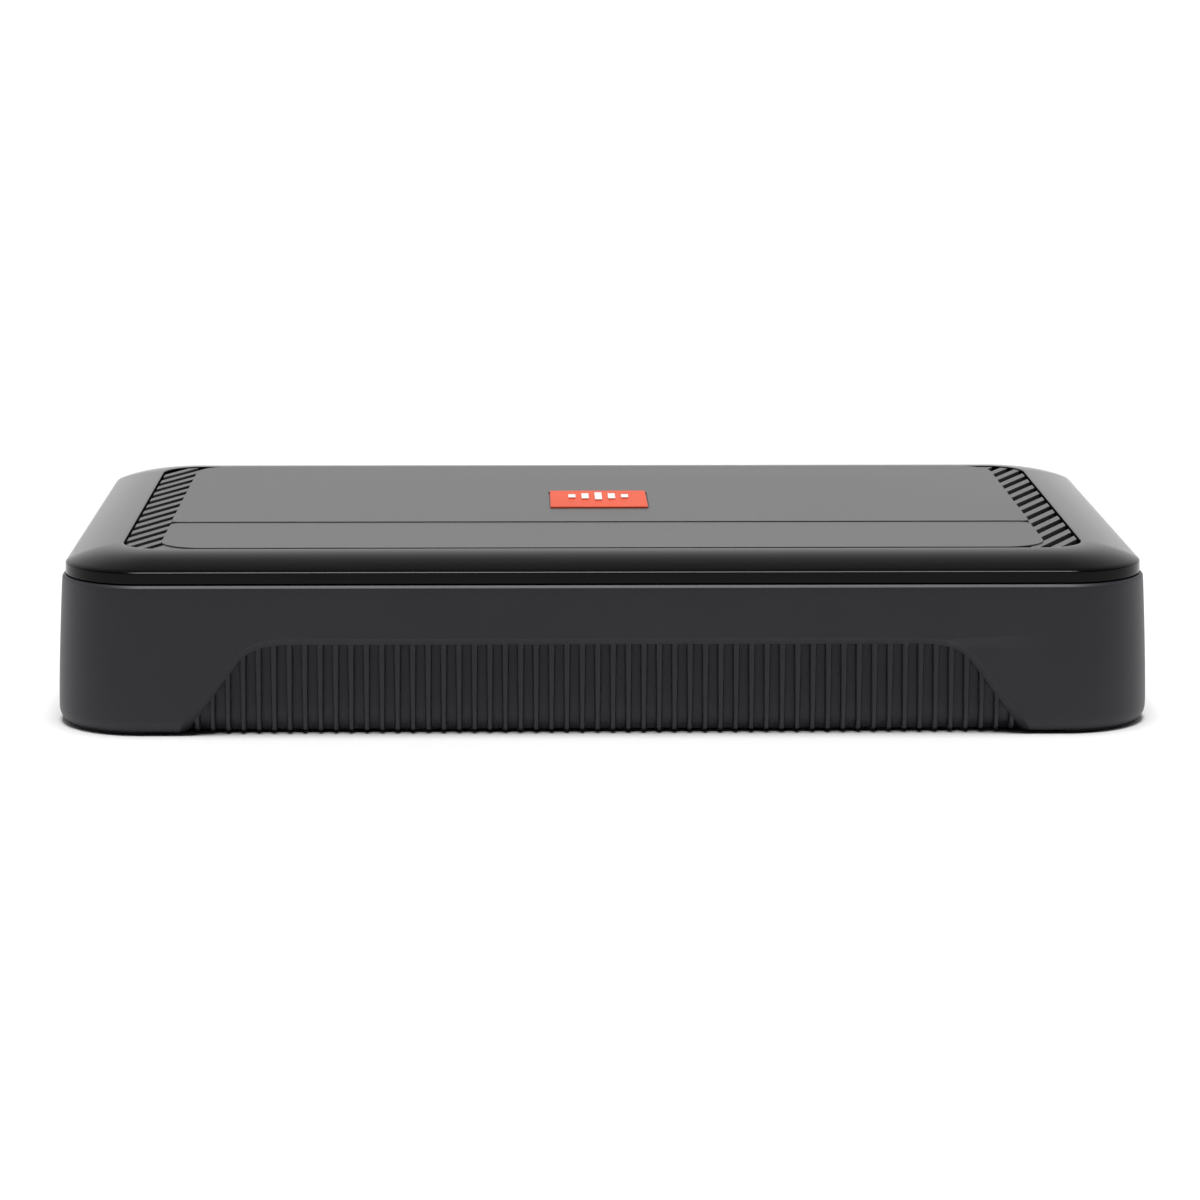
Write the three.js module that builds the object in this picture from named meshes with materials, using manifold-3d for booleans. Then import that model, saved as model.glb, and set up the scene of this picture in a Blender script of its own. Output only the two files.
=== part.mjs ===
// Car amplifier: ribbed die-cast chassis, lift-off top cover, input end and power end.
// Millimetres, +Z up, +X along the length, +Y to the back, origin at the centre of the
// footprint on the surface that the feet stand on.
import * as THREE from 'three';
import { mergeVertices } from 'three/addons/utils/BufferGeometryUtils.js';
import Module from 'manifold-3d';

const wasm = await Module();
wasm.setup();

// ---- driving dimensions ----
const LENGTH = 341;
const DEPTH = 213;
const HALF_L = LENGTH / 2;
const HALF_D = DEPTH / 2;
const CORNER_R = 28;
const GAP = 0.3;

const BODY_BOTTOM = 0.9;
const DECK_UNDER = 40;
const DECK_TOP = 44;
const BODY_TOP = 46.6;
const TOP_INSET = 1.7;
const RIM_CHAMFER = 0.9;
const WELL_INSET = 5.9;
const WELL_R = 20;
const CAVITY_HALF_L = 162;
const CAVITY_HALF_D = 98.6;
const CAVITY_R = 14;

const LIP_Z = 50.6;
const BEZEL_TOP = 54.6;
const BAND_BOTTOM = 47.0;
const OPENING_HALF_L = 150.3;
const OPENING_HALF_D = 83.8;
const OPENING_R = 13;
const BAND_INSET = 2.7;
const LIP_INSET = 2.9;
const BEZEL_WALL = 2.3;
const BEZEL_STEPS = 3;

const TRAY_Z0 = 48.4;
const TRAY_Z1 = 50.0;
const TRAY_HALF_L = 160.8;
const TRAY_HALF_D = 96.2;
const TRAY_R = 20;
const VENT_X = 144.4;
const VENT_HALF_W = 4.6;
const VENT_HALF_D = 74;
const GRILLE_BOTTOM = 50.3;
const GRILLE_TOP = 54.3;
const GRILLE_MARGIN = 0.6;
const GRILLE_X = 124;
const GRILLE_END = 160;
const PLATE_Z0 = 52.4;
const PLATE_TOP = 55.0;
const PLATE_HALF_L = 138.6;
const PLATE_HALF_D = 82.6;
const PLATE_R = 13;
const SEAM_Y = -35.6;
const SEAM_WIDTH = 0.6;

const RIB_COUNT = 54;
const RIB_PITCH = 4.74;
const RIB_WIDTH = 1.5;
const RIB_Z0 = 1.2;
const RIB_Z1 = 29.2;
const RIB_SETBACK = 2.1;
const VALLEY_SETBACK = 4.4;
const WINDOW = {
  foot: 132.4, footZ: -4, shoulder: 112.6, shoulderZ: 22.8, topZ: 28,
  bend: 4.6, bendReach: 15, lip: 1.6, lipDepth: 1.9,
};
const END_WINDOW = { halfY: 72, halfZ: 16, r: 4, z: 22, x: 168, depth: 14 };

const SLOT_COUNT = 15;
const SLOT_PITCH = 12.94;
const SLOT_ANGLE = 64 * Math.PI / 180;
const SLOT_WIDTH = 2.9;
const SLOT_SHIFT = 0.15;
const SLOT_SKEW = 3.85;
const RAIL = { x0: 149.5, x1: 152.6, halfY: 80, top: 51.6 };
const LOW_RIM = { outL: 152, outD: 88, inL: 148.4, inD: 81.8, inR: 11.4, top: 51.4 };

const BADGE_HALF_W = 16.1;
const BADGE_Y0 = -9.6;
const BADGE_Y1 = 23.6;
const BADGE_TOP = 55.6;
const BADGE_CLEARANCE = 0.4;
const BADGE_SEAT = 0.6;
const EMBLEM_HEIGHTS = [6, 10, 14, 10, 6];
const EMBLEM_PITCH = 4.4;
const EMBLEM_HALF_WIDTH = 1.2;
const EMBLEM_TIE = 0.8;
const EMBLEM_Y = 9.5;
const EMBLEM_THICKNESS = 0.2;

const PCB_Z0 = 8.3;
const PCB_Z1 = 9.9;
const PART_Z0 = PCB_Z1 + GAP;
const PANEL_OUT = 161.7;
const PANEL_IN = 159.7;
const BLOCK_FACE = PANEL_IN - GAP;

const FOOT_X = 144;
const FOOT_Y = 78;
const MOUNT_X = 154;
const MOUNT_Y = 90;
const MOUNT_R = 3.2;
const MOUNT_BOSS_R = 7;
const BASE_SCREW_X = 70;
const BASE_SCREW_Y = 92.6;
const POST_R = 4.5;
const POST_BORE_R = 1.9;
const POST_BORE_TOP = 15;
const POST_Z0 = 3.1;
const WEB_HALF = 1.5;
const DRIVER_HOLE_POWER = 4.4;
const DRIVER_HOLE_SPEAKER = 3.8;

const BASE = { halfL: 161.4, halfD: 98, r: 13, z0: 1.3, z1: 2.8, notch: 1 };
const STANDOFF = { x: 130, y: 60, r: 3.2, z0: 2.5 };
const BASE_SCREW = { headR: 3.1, shankR: 1.5, z0: 1.35, neckZ: 3.0, tipZ: 12, z1: 12.8 };
const CROSS = { half: 0.4, reach: 2, z0: 0.5, z1: 1.9 };
const SINK = [[0, -0.1], [3.6, -0.1], [3.6, 0], [2.1, 1.6], [2.1, 3], [0, 3]];
const SINK_Z = 1.25;
const BOARD = { halfL: 156, halfD: 87, r: 2, notchX: 145.5, notchY: 81 };

const TOROID = { x: -45, y: 10, inner: 9, outer: 26, z1: 32 };
const INDUCTOR = { x: 12, y: -38, inner: 5, outer: 14, z1: 22 };
const CAPACITOR_Y = 34;
const CAPACITOR_X = [48, 70];
const CAPACITOR_PROFILE = [
  [0, PART_Z0], [9, PART_Z0], [9, 12.4], [8.5, 13], [9, 13.6], [9, 37], [8.4, 37.6], [0, 37.6],
];
const CLAMP_BAR = { halfL: 60, y0: 90.2, y1: 92.2, z0: 17, z1: 27 };
const TRANSISTOR = { count: 6, pitch: 20, halfW: 5, y0: 91.8, y1: 98.2, z0: 13, z1: 29 };

// Screw terminals: block, wire port, pocket, clamp cage with its wire window, shelf, screw.
const POWER = {
  x0: 140, face: 164.5, z1: 36, screwX: 152, portZ: 17.6, portR: 4.3,
  pocketHalf: 6.5, pocketX0: 146, pocketX1: 158,
  cageHalf: 6.1, cageX0: 147, cageX1: 157, cageTop: 28,
  windowHalf: 4.4, windowZ0: 13.5, windowZ1: 25,
  shelfZ0: 21.5, shelfZ1: 23, shankR: 2.4, headR: 3.4, headZ0: 34, headZ1: 37,
};
const SPEAKER = {
  x0: 144, face: 164.5, z1: 31, screwX: 153, portZ: 16.2, portR: 3.1,
  pocketHalf: 5.0, pocketX0: 149, pocketX1: 157,
  cageHalf: 4.6, cageX0: 150, cageX1: 156, cageTop: 24,
  windowHalf: 3.2, windowZ0: 13.1, windowZ1: 21.5,
  shelfZ0: 19, shelfZ1: 20.3, shankR: 1.8, headR: 2.8, headZ0: 29, headZ1: 31.4,
};
const POWER_CLAMPS = [
  { label: 'battery', y: -58 },
  { label: 'remote', y: -40 },
  { label: 'ground', y: -22 },
];
const SPEAKER_CLAMPS = [
  { label: 'positive', y: 2 },
  { label: 'negative', y: 18 },
];
const BLOCK_WALL = 1.6;
const POCKET_DROP = 1.9;
const CAGE_FLOOR = 1.6;
const SHELF_PLAY = 0.4;
const SCREW_SLOT = { half: 0.5, depth: 1.2 };

const RCA = [
  { label: 'left', y: 60 },
  { label: 'right', y: 44 },
];
const RCA_Z = 22;
const KNOBS = [
  { label: 'gain', y: -42 },
  { label: 'crossover', y: -54 },
  { label: 'bass_boost', y: -66 },
];
const KNOB_Z = 17;
const SWITCHES = [
  { label: 'filter', y: -11 },
  { label: 'input_level', y: -28 },
];
const LAMPS = [
  { label: 'power', y: -50, finish: 'greenLamp' },
  { label: 'protect', y: -58, finish: 'redLamp' },
];
const LAMP_Z = 31;
const SOCKETS = {
  speaker_level: { y: 22, half: 7, z1: 20.5, depth: 9 },
  remote_bass: { y: 4, half: 6, z1: 21.5, depth: 11 },
};

const PANEL = { halfY: 75, z0: 3.2, z1: 39.4, cut0: 155, cut1: 166 };
const JACK_SEAT = PANEL_IN - 0.1;
const JACK_HOLE_R = 5.2;
const JACK_BLOCK = { x1: -142, y0: 34, y1: 69, z1: 33 };
const JACK_PROFILE = [
  [0, 0], [4.8, 0], [4.8, 2.4], [4.1, 2.8], [4.1, 9.6], [3.3, 9.6], [3.3, 3.6], [1.6, 3.6],
  [1.6, 2.6], [0, 2.6],
];
const KNOB_HOLE_R = 4.1;
const KNOB_PROFILE = [[0, 0], [3.6, 0], [3.6, 4.0], [3.0, 4.6], [0, 4.6]];
const KNOB_SLOT = { half: 0.5, reach: 2.6, z0: 3.6, z1: 6 };
const POTENTIOMETER = { x1: -148, half: 4.8, z1: 23 };
const SWITCH = { x1: -151, half: 7, z1: 22, holeHalf: 5, holeZ0: 14, holeZ1: 20 };
const SLIDER = { x0: -164.2, half: 1.8, z0: 15, z1: 19 };
const LAMP_HOLE_R = 1.9;
const LAMP_X = -157.5;
const LAMP_PROFILE = [[0, 0], [1.5, 0], [1.5, 5.4], [1.0, 6.3], [0, 6.7]];
const SOCKET_X0 = -163;
const SOCKET_X1 = -146;
const SOCKET_WALL = 1.4;

const FUSES = [{ label: '1', y: 45 }, { label: '2', y: 59 }];
const FUSE = {
  holderX0: 141, holderFace: 163, y0: 38, y1: 66, z0: 12, z1: 31.4, z: 21.7, roof: 2,
  slotX0: 152.2, slotHalf: 3.1, bladeOffset: 6.4, bladeSlotX0: 143, bladeX1: 153,
  bladeSlotHalf: 0.8, bladeSlotReach: 2.9, bladeX0: 143.6, bladeHalf: 0.4, bladeReach: 2.5,
  bodyX0: 152.5, bodyX1: 164, bodyHalf: 2.5, bodyMargin: 1.4,
  headX0: 163.5, headX1: 167.5, headHalf: 2.0, headMargin: 0.6,
};

// ---- materials ----
const paint = (color, roughness, metalness) => ({ color, roughness, metalness });
const FINISH = {
  castBlack: paint(0x2b2a2e, 0.45, 0.3),
  glossBlack: paint(0x141416, 0.15, 0.0),
  greyPlate: paint(0x86868a, 0.5, 0.2),
  badge: paint(0xf0765c, 0.35, 0.0),
  white: paint(0xf4f4f4, 0.4, 0.0),
  steel: paint(0xb4b6b8, 0.35, 0.9),
  blackPlastic: paint(0x1c1c1e, 0.5, 0.0),
  rubber: paint(0x222222, 0.8, 0.0),
  board: paint(0x1d5a34, 0.5, 0.0),
  copper: paint(0xb5652f, 0.35, 0.7),
  nickel: paint(0xc9c6bd, 0.25, 0.9),
  capSleeve: paint(0x20283a, 0.4, 0.0),
  fuse: paint(0xe3b020, 0.3, 0.0),
  greenLamp: paint(0x35c060, 0.2, 0.0),
  redLamp: paint(0xd03024, 0.2, 0.0),
};

// ---- solids ----
function toSolid(geometry) {
  const bare = geometry.clone();
  bare.deleteAttribute('normal');
  bare.deleteAttribute('uv');
  const merged = mergeVertices(bare, 1e-4);
  return new wasm.Manifold(new wasm.Mesh({
    numProp: 3,
    vertProperties: new Float32Array(merged.attributes.position.array),
    triVerts: new Uint32Array(merged.index.array),
  }));
}

function toGeometry(solid) {
  const mesh = solid.getMesh();
  const geometry = new THREE.BufferGeometry();
  geometry.setAttribute('position', new THREE.BufferAttribute(new Float32Array(mesh.vertProperties), 3));
  geometry.setIndex(new THREE.BufferAttribute(new Uint32Array(mesh.triVerts), 1));
  const flat = geometry.toNonIndexed();
  flat.computeVertexNormals();
  return flat;
}

function box(x0, x1, y0, y1, z0, z1) {
  const geometry = new THREE.BoxGeometry(x1 - x0, y1 - y0, z1 - z0);
  geometry.translate((x0 + x1) / 2, (y0 + y1) / 2, (z0 + z1) / 2);
  return toSolid(geometry);
}

// A box that straddles a point in Y.
function slab(x0, x1, y, halfY, z0, z1) {
  return box(x0, x1, y - halfY, y + halfY, z0, z1);
}

function rodZ(x, y, r, z0, z1, sides = 16) {
  const geometry = new THREE.CylinderGeometry(r, r, z1 - z0, sides);
  geometry.rotateX(Math.PI / 2);
  geometry.translate(x, y, (z0 + z1) / 2);
  return toSolid(geometry);
}

function rodX(x0, x1, y, z, r, sides = 14) {
  const geometry = new THREE.CylinderGeometry(r, r, Math.abs(x1 - x0), sides);
  geometry.rotateZ(Math.PI / 2);
  geometry.translate((x0 + x1) / 2, y, z);
  return toSolid(geometry);
}

// A solid of revolution about Z, from [radius, height] points.
function turned(points, sides = 24) {
  const profile = points.map(([r, z]) => new THREE.Vector2(r, z));
  const geometry = new THREE.LatheGeometry(profile, sides);
  geometry.rotateX(Math.PI / 2);
  return toSolid(geometry);
}

function roundedRect(halfX, halfY, r) {
  const shape = new THREE.Shape();
  const cx = halfX - r;
  const cy = halfY - r;
  shape.moveTo(cx, -halfY);
  shape.absarc(cx, -cy, r, -Math.PI / 2, 0, false);
  shape.absarc(cx, cy, r, 0, Math.PI / 2, false);
  shape.absarc(-cx, cy, r, Math.PI / 2, Math.PI, false);
  shape.absarc(-cx, -cy, r, Math.PI, Math.PI * 1.5, false);
  return shape;
}

function prism(shape, z0, z1, curveSegments = 8) {
  const options = { depth: z1 - z0, bevelEnabled: false, curveSegments };
  const geometry = new THREE.ExtrudeGeometry(shape, options);
  geometry.translate(0, 0, z0);
  return toSolid(geometry);
}

// A rounded block whose size changes with height: levels are { z, hx, hy, r }.
function loft(levels, curveSegments = 8) {
  const base = levels[0];
  const steps = levels.length - 1;
  const shape = roundedRect(base.hx, base.hy, base.r);
  const options = { depth: steps, steps, bevelEnabled: false, curveSegments };
  const geometry = new THREE.ExtrudeGeometry(shape, options);
  const position = geometry.attributes.position;
  for (let i = 0; i < position.count; i++) {
    const level = levels[Math.round(position.getZ(i))];
    const sx = Math.sign(position.getX(i));
    const sy = Math.sign(position.getY(i));
    const nx = (position.getX(i) - sx * (base.hx - base.r)) / base.r;
    const ny = (position.getY(i) - sy * (base.hy - base.r)) / base.r;
    position.setX(i, sx * (level.hx - level.r) + level.r * nx);
    position.setY(i, sy * (level.hy - level.r) + level.r * ny);
    position.setZ(i, level.z);
  }
  return toSolid(geometry);
}

const insetLevel = (z, inset) => ({
  z, hx: HALF_L - inset, hy: HALF_D - inset, r: CORNER_R - inset,
});

// ---- assembly ----
const amplifier = new THREE.Group();

function add(name, solid, finish) {
  const mesh = new THREE.Mesh(toGeometry(solid), new THREE.MeshStandardMaterial(finish));
  mesh.name = name;
  amplifier.add(mesh);
}

// The drafted outer form of the chassis and feet, widest a little above the floor.
const outerForm = loft([
  insetLevel(0, 2.4),
  insetLevel(BODY_BOTTOM, 1.4),
  insetLevel(2.2, 0.7),
  insetLevel(4.5, 0.2),
  insetLevel(9, 0),
  insetLevel(22, 0.4),
  insetLevel(35, 0.95),
  insetLevel(BODY_TOP - RIM_CHAMFER, TOP_INSET),
  insetLevel(BODY_TOP, TOP_INSET + RIM_CHAMFER),
]);

const corners = [
  ['front_left', -1, -1],
  ['front_right', 1, -1],
  ['rear_left', -1, 1],
  ['rear_right', 1, 1],
];

function quadrantBox(sx, sy, x0, x1, y0, y1, z0, z1) {
  const xs = [sx * x0, sx * x1].sort((a, b) => a - b);
  const ys = [sy * y0, sy * y1].sort((a, b) => a - b);
  return box(xs[0], xs[1], ys[0], ys[1], z0, z1);
}

// ---- feet ----
const PLUG = { x0: 148, x1: 157.4, y0: 83, y1: 93.4, top: 3.0 };

for (const [label, sx, sy] of corners) {
  const reach = quadrantBox(sx, sy, FOOT_X, HALF_L + 1, FOOT_Y, HALF_D + 1, -1, BODY_BOTTOM);
  const plug = quadrantBox(sx, sy, PLUG.x0, PLUG.x1, PLUG.y0, PLUG.y1, BODY_BOTTOM - 0.4, PLUG.top);
  const hole = rodZ(sx * MOUNT_X, sy * MOUNT_Y, MOUNT_R + 0.6, -1, 5);
  const foot = outerForm.intersect(reach).add(plug).subtract(hole);
  add(`foot_${label}`, foot, FINISH.rubber);
}

// ---- chassis ----
// Ribbed window of one long side, as the outline of the opening in X and Z.
function windowOutline(grow) {
  const w = WINDOW;
  const foot = w.foot + grow;
  const shoulder = w.shoulder + grow;
  const top = w.topZ + grow;
  const shape = new THREE.Shape();
  shape.moveTo(-foot, w.footZ);
  shape.lineTo(-shoulder, w.shoulderZ);
  shape.quadraticCurveTo(-shoulder + w.bend, top, -shoulder + w.bendReach, top);
  shape.lineTo(shoulder - w.bendReach, top);
  shape.quadraticCurveTo(shoulder - w.bend, top, shoulder, w.shoulderZ);
  shape.lineTo(foot, w.footZ);
  return shape;
}

// An X-Z outline extruded from y0 to y1.
function acrossY(shape, y0, y1) {
  const options = { depth: y1 - y0, bevelEnabled: false, curveSegments: 5 };
  const geometry = new THREE.ExtrudeGeometry(shape, options);
  geometry.rotateX(Math.PI / 2);
  geometry.translate(0, y1, 0);
  return toSolid(geometry);
}

function ribbedWindow(solid, side) {
  const along = (a, b) => (side < 0 ? [-a, -b] : [b, a]);
  const [v0, v1] = along(HALF_D + 2, HALF_D - VALLEY_SETBACK);
  const [c0, c1] = along(HALF_D + 2, HALF_D - WINDOW.lipDepth);
  const pocket = acrossY(windowOutline(0), v0, v1);
  const lip = acrossY(windowOutline(WINDOW.lip), c0, c1);
  const [r0, r1] = along(HALF_D - RIB_SETBACK, HALF_D - VALLEY_SETBACK - 0.5);
  let ribs = null;
  for (let i = 0; i < RIB_COUNT; i++) {
    const x = (i - (RIB_COUNT - 1) / 2) * RIB_PITCH;
    const rib = box(x - RIB_WIDTH / 2, x + RIB_WIDTH / 2, r0, r1, RIB_Z0, RIB_Z1);
    ribs = ribs ? ribs.add(rib) : rib;
  }
  const room = acrossY(windowOutline(GAP), Math.min(r0, r1), Math.max(r0, r1));
  return solid.subtract(pocket).subtract(lip).add(ribs.intersect(room));
}

// A corner column with a through hole, cut clear of the foot below it.
function mountingBoss(body, sx, sy) {
  const x = sx * MOUNT_X;
  const y = sy * MOUNT_Y;
  const boss = rodZ(x, y, MOUNT_BOSS_R, PLUG.top + GAP, DECK_UNDER + 1);
  const below = quadrantBox(
    sx, sy, FOOT_X - GAP, HALF_L + 2, FOOT_Y - GAP, HALF_D + 2, -1, BODY_BOTTOM + GAP,
  );
  const hole = rodZ(x, y, MOUNT_R, -2, BODY_TOP + 2);
  return body.add(boss).subtract(below).subtract(hole);
}

// A post for a base screw, tied to the long wall by a web.
function screwPost(body, sx, sy) {
  const x = sx * BASE_SCREW_X;
  const y = sy * BASE_SCREW_Y;
  const post = rodZ(x, y, POST_R, POST_Z0, DECK_UNDER + 1);
  const web = quadrantBox(
    sx, sy, BASE_SCREW_X - WEB_HALF, BASE_SCREW_X + WEB_HALF, BASE_SCREW_Y,
    CAVITY_HALF_D + 0.4, POST_Z0, DECK_UNDER + 1,
  );
  const bore = rodZ(x, y, POST_BORE_R, 2, POST_BORE_TOP, 12);
  return body.add(post).add(web).subtract(bore);
}

function buildChassis() {
  let body = outerForm;
  body = body.subtract(box(-HALF_L - 1, HALF_L + 1, -HALF_D - 1, HALF_D + 1, -1, BODY_BOTTOM));
  const cavity = roundedRect(CAVITY_HALF_L, CAVITY_HALF_D, CAVITY_R);
  body = body.subtract(prism(cavity, -2, DECK_UNDER, 5));
  const well = roundedRect(HALF_L - WELL_INSET, HALF_D - WELL_INSET, WELL_R);
  body = body.subtract(prism(well, DECK_TOP, BODY_TOP + 2, 6));
  for (const side of [-1, 1]) {
    body = ribbedWindow(body, side);
  }
  for (const [, sx, sy] of corners) {
    body = mountingBoss(body, sx, sy);
    body = screwPost(body, sx, sy);
  }
  for (const { y } of POWER_CLAMPS) {
    const hole = rodZ(POWER.screwX, y, DRIVER_HOLE_POWER, DECK_UNDER - 1, DECK_TOP + 1);
    body = body.subtract(hole);
  }
  for (const { y } of SPEAKER_CLAMPS) {
    const hole = rodZ(SPEAKER.screwX, y, DRIVER_HOLE_SPEAKER, DECK_UNDER - 1, DECK_TOP + 1);
    body = body.subtract(hole);
  }
  for (const sx of [-1, 1]) {
    body = body.subtract(endWindow(sx));
  }
  return body;
}

// The opening in an end wall, with a rounded outline in Y and Z.
function endWindow(sx) {
  const w = END_WINDOW;
  const options = { depth: w.depth, bevelEnabled: false, curveSegments: 3 };
  const geometry = new THREE.ExtrudeGeometry(roundedRect(w.halfY, w.halfZ, w.r), options);
  geometry.rotateX(Math.PI / 2);
  geometry.rotateZ(Math.PI / 2);
  geometry.center();
  geometry.translate(sx * w.x, 0, w.z);
  return toSolid(geometry);
}

// ---- screw terminals ----
function terminalBlock(t, clamps) {
  const margin = t.pocketHalf + BLOCK_WALL;
  const y0 = clamps[0].y - margin;
  const y1 = clamps[clamps.length - 1].y + margin;
  let block = box(t.x0, t.face, y0, y1, PART_Z0, t.z1);
  for (const { y } of clamps) {
    const floor = t.windowZ0 - POCKET_DROP;
    block = block.subtract(slab(t.pocketX0, t.pocketX1, y, t.pocketHalf, floor, t.z1 + 2));
    block = block.subtract(rodX(t.pocketX0 - 1, t.face + 2, y, t.portZ, t.portR));
  }
  for (const { y } of clamps) {
    const half = t.windowHalf - SHELF_PLAY;
    block = block.add(slab(t.x0 + 1, t.pocketX1 - 1, y, half, t.shelfZ0, t.shelfZ1));
  }
  return block;
}

function clampCage(t, y) {
  const outer = slab(t.cageX0, t.cageX1, y, t.cageHalf, t.windowZ0 - CAGE_FLOOR, t.cageTop);
  const wireRoom = slab(t.cageX0 - 1, t.cageX1 + 1, y, t.windowHalf, t.windowZ0, t.windowZ1);
  const thread = rodZ(t.screwX, y, t.shankR + GAP, t.windowZ1 - 1, t.cageTop + 1, 12);
  return outer.subtract(wireRoom).subtract(thread);
}

function clampScrew(t, y) {
  const shank = rodZ(t.screwX, y, t.shankR, t.shelfZ1 + GAP, t.headZ0 + 0.5, 12);
  const head = rodZ(t.screwX, y, t.headR, t.headZ0, t.headZ1, 16);
  const reach = t.headR + 1;
  const slotZ = t.headZ1 - SCREW_SLOT.depth;
  const slot = slab(t.screwX - reach, t.screwX + reach, y, SCREW_SLOT.half, slotZ, t.headZ1 + 1);
  return shank.add(head).subtract(slot);
}

// ---- base plate, screws and board ----
function buildBasePlate() {
  let plate = prism(roundedRect(BASE.halfL, BASE.halfD, BASE.r), BASE.z0, BASE.z1, 5);
  const notchX = FOOT_X - BASE.notch;
  const notchY = FOOT_Y - BASE.notch;
  for (const [, sx, sy] of corners) {
    const notch = quadrantBox(sx, sy, notchX, HALF_L, notchY, HALF_D, 0, BASE.z1 + 1);
    const standoff = rodZ(
      sx * STANDOFF.x, sy * STANDOFF.y, STANDOFF.r, STANDOFF.z0, PCB_Z0 - GAP, 12,
    );
    const sink = turned(SINK, 16).translate([sx * BASE_SCREW_X, sy * BASE_SCREW_Y, SINK_Z]);
    plate = plate.subtract(notch).add(standoff).subtract(sink);
  }
  return plate;
}

function baseScrew(sx, sy) {
  const b = BASE_SCREW;
  const profile = [
    [0, b.z0], [b.headR, b.z0], [b.shankR, b.neckZ], [b.shankR, b.tipZ], [0, b.z1],
  ];
  const { half, reach, z0, z1 } = CROSS;
  const recess = box(-half, half, -reach, reach, z0, z1)
    .add(box(-reach, reach, -half, half, z0, z1));
  const place = [sx * BASE_SCREW_X, sy * BASE_SCREW_Y, 0];
  return turned(profile, 16).subtract(recess).translate(place);
}

function buildBoard() {
  let board = prism(roundedRect(BOARD.halfL, BOARD.halfD, BOARD.r), PCB_Z0, PCB_Z1, 2);
  for (const [, sx, sy] of corners) {
    const notch = quadrantBox(
      sx, sy, BOARD.notchX, HALF_L, BOARD.notchY, HALF_D, PCB_Z0 - 1, PCB_Z1 + 1,
    );
    board = board.subtract(notch);
  }
  return board;
}

add('chassis', buildChassis(), FINISH.castBlack);
add('base_plate', buildBasePlate(), FINISH.steel);
for (const [label, sx, sy] of corners) {
  add(`base_screw_${label}`, baseScrew(sx, sy), FINISH.steel);
}
add('main_circuit_board', buildBoard(), FINISH.board);

// ---- parts on the board ----
function ring({ x, y, inner, outer, z1 }) {
  const bevel = (outer - inner) * 0.2;
  const z0 = PART_Z0;
  const profile = [
    [inner, z0 + bevel], [inner + bevel, z0], [outer - bevel, z0], [outer, z0 + bevel],
    [outer, z1 - bevel], [outer - bevel, z1], [inner + bevel, z1], [inner, z1 - bevel],
    [inner, z0 + bevel],
  ];
  return turned(profile, 22).translate([x, y, 0]);
}

function transistorClamp(side) {
  const c = CLAMP_BAR;
  const t = TRANSISTOR;
  let bar = quadrantBox(1, side, -c.halfL, c.halfL, c.y0, c.y1, c.z0, c.z1);
  for (let i = 0; i < t.count; i++) {
    const x = (i - (t.count - 1) / 2) * t.pitch;
    bar = bar.add(quadrantBox(1, side, x - t.halfW, x + t.halfW, t.y0, t.y1, t.z0, t.z1));
  }
  return bar;
}

add('toroid_transformer', ring(TOROID), FINISH.copper);
add('output_inductor', ring(INDUCTOR), FINISH.copper);
CAPACITOR_X.forEach((x, i) => {
  const can = turned(CAPACITOR_PROFILE, 16).translate([x, CAPACITOR_Y, 0]);
  add(`capacitor_${i + 1}`, can, FINISH.capSleeve);
});
add('transistor_clamp_front', transistorClamp(-1), FINISH.steel);
add('transistor_clamp_rear', transistorClamp(1), FINISH.steel);

// ---- input end ----
function buildInputPanel() {
  const near = -PANEL.cut0;
  const far = -PANEL.cut1;
  let panel = box(-PANEL_OUT, -PANEL_IN, -PANEL.halfY, PANEL.halfY, PANEL.z0, PANEL.z1);
  const through = (solid) => {
    panel = panel.subtract(solid);
  };
  for (const { y } of RCA) {
    through(rodX(far, near, y, RCA_Z, JACK_HOLE_R));
  }
  for (const { y } of KNOBS) {
    through(rodX(far, near, y, KNOB_Z, KNOB_HOLE_R));
  }
  for (const { y } of SWITCHES) {
    through(slab(far, near, y, SWITCH.holeHalf, SWITCH.holeZ0, SWITCH.holeZ1));
  }
  for (const { y } of LAMPS) {
    through(rodX(far, near, y, LAMP_Z, LAMP_HOLE_R, 12));
  }
  for (const { y, half, z1 } of Object.values(SOCKETS)) {
    through(slab(far, near, y, half + GAP, PART_Z0 - GAP, z1 + GAP));
  }
  return panel;
}

function rcaJack(y) {
  const jack = turned(JACK_PROFILE, 14).rotate([0, -90, 0]);
  return jack.translate([-JACK_SEAT, y, RCA_Z]);
}

function socketBody({ y, half, z1, depth }) {
  const wall = SOCKET_WALL;
  const shell = slab(SOCKET_X0, SOCKET_X1, y, half, PART_Z0, z1);
  const bay = slab(SOCKET_X0 - 1, SOCKET_X0 + depth, y, half - wall, PART_Z0 + wall, z1 - wall);
  return shell.subtract(bay);
}

function knob(y) {
  const { half, reach, z0, z1 } = KNOB_SLOT;
  const body = turned(KNOB_PROFILE, 16).subtract(box(-half, half, -reach, reach, z0, z1));
  return body.rotate([0, -90, 0]).translate([-JACK_SEAT, y, KNOB_Z]);
}

function lamp(y) {
  return turned(LAMP_PROFILE, 12).rotate([0, -90, 0]).translate([LAMP_X, y, LAMP_Z]);
}

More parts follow.
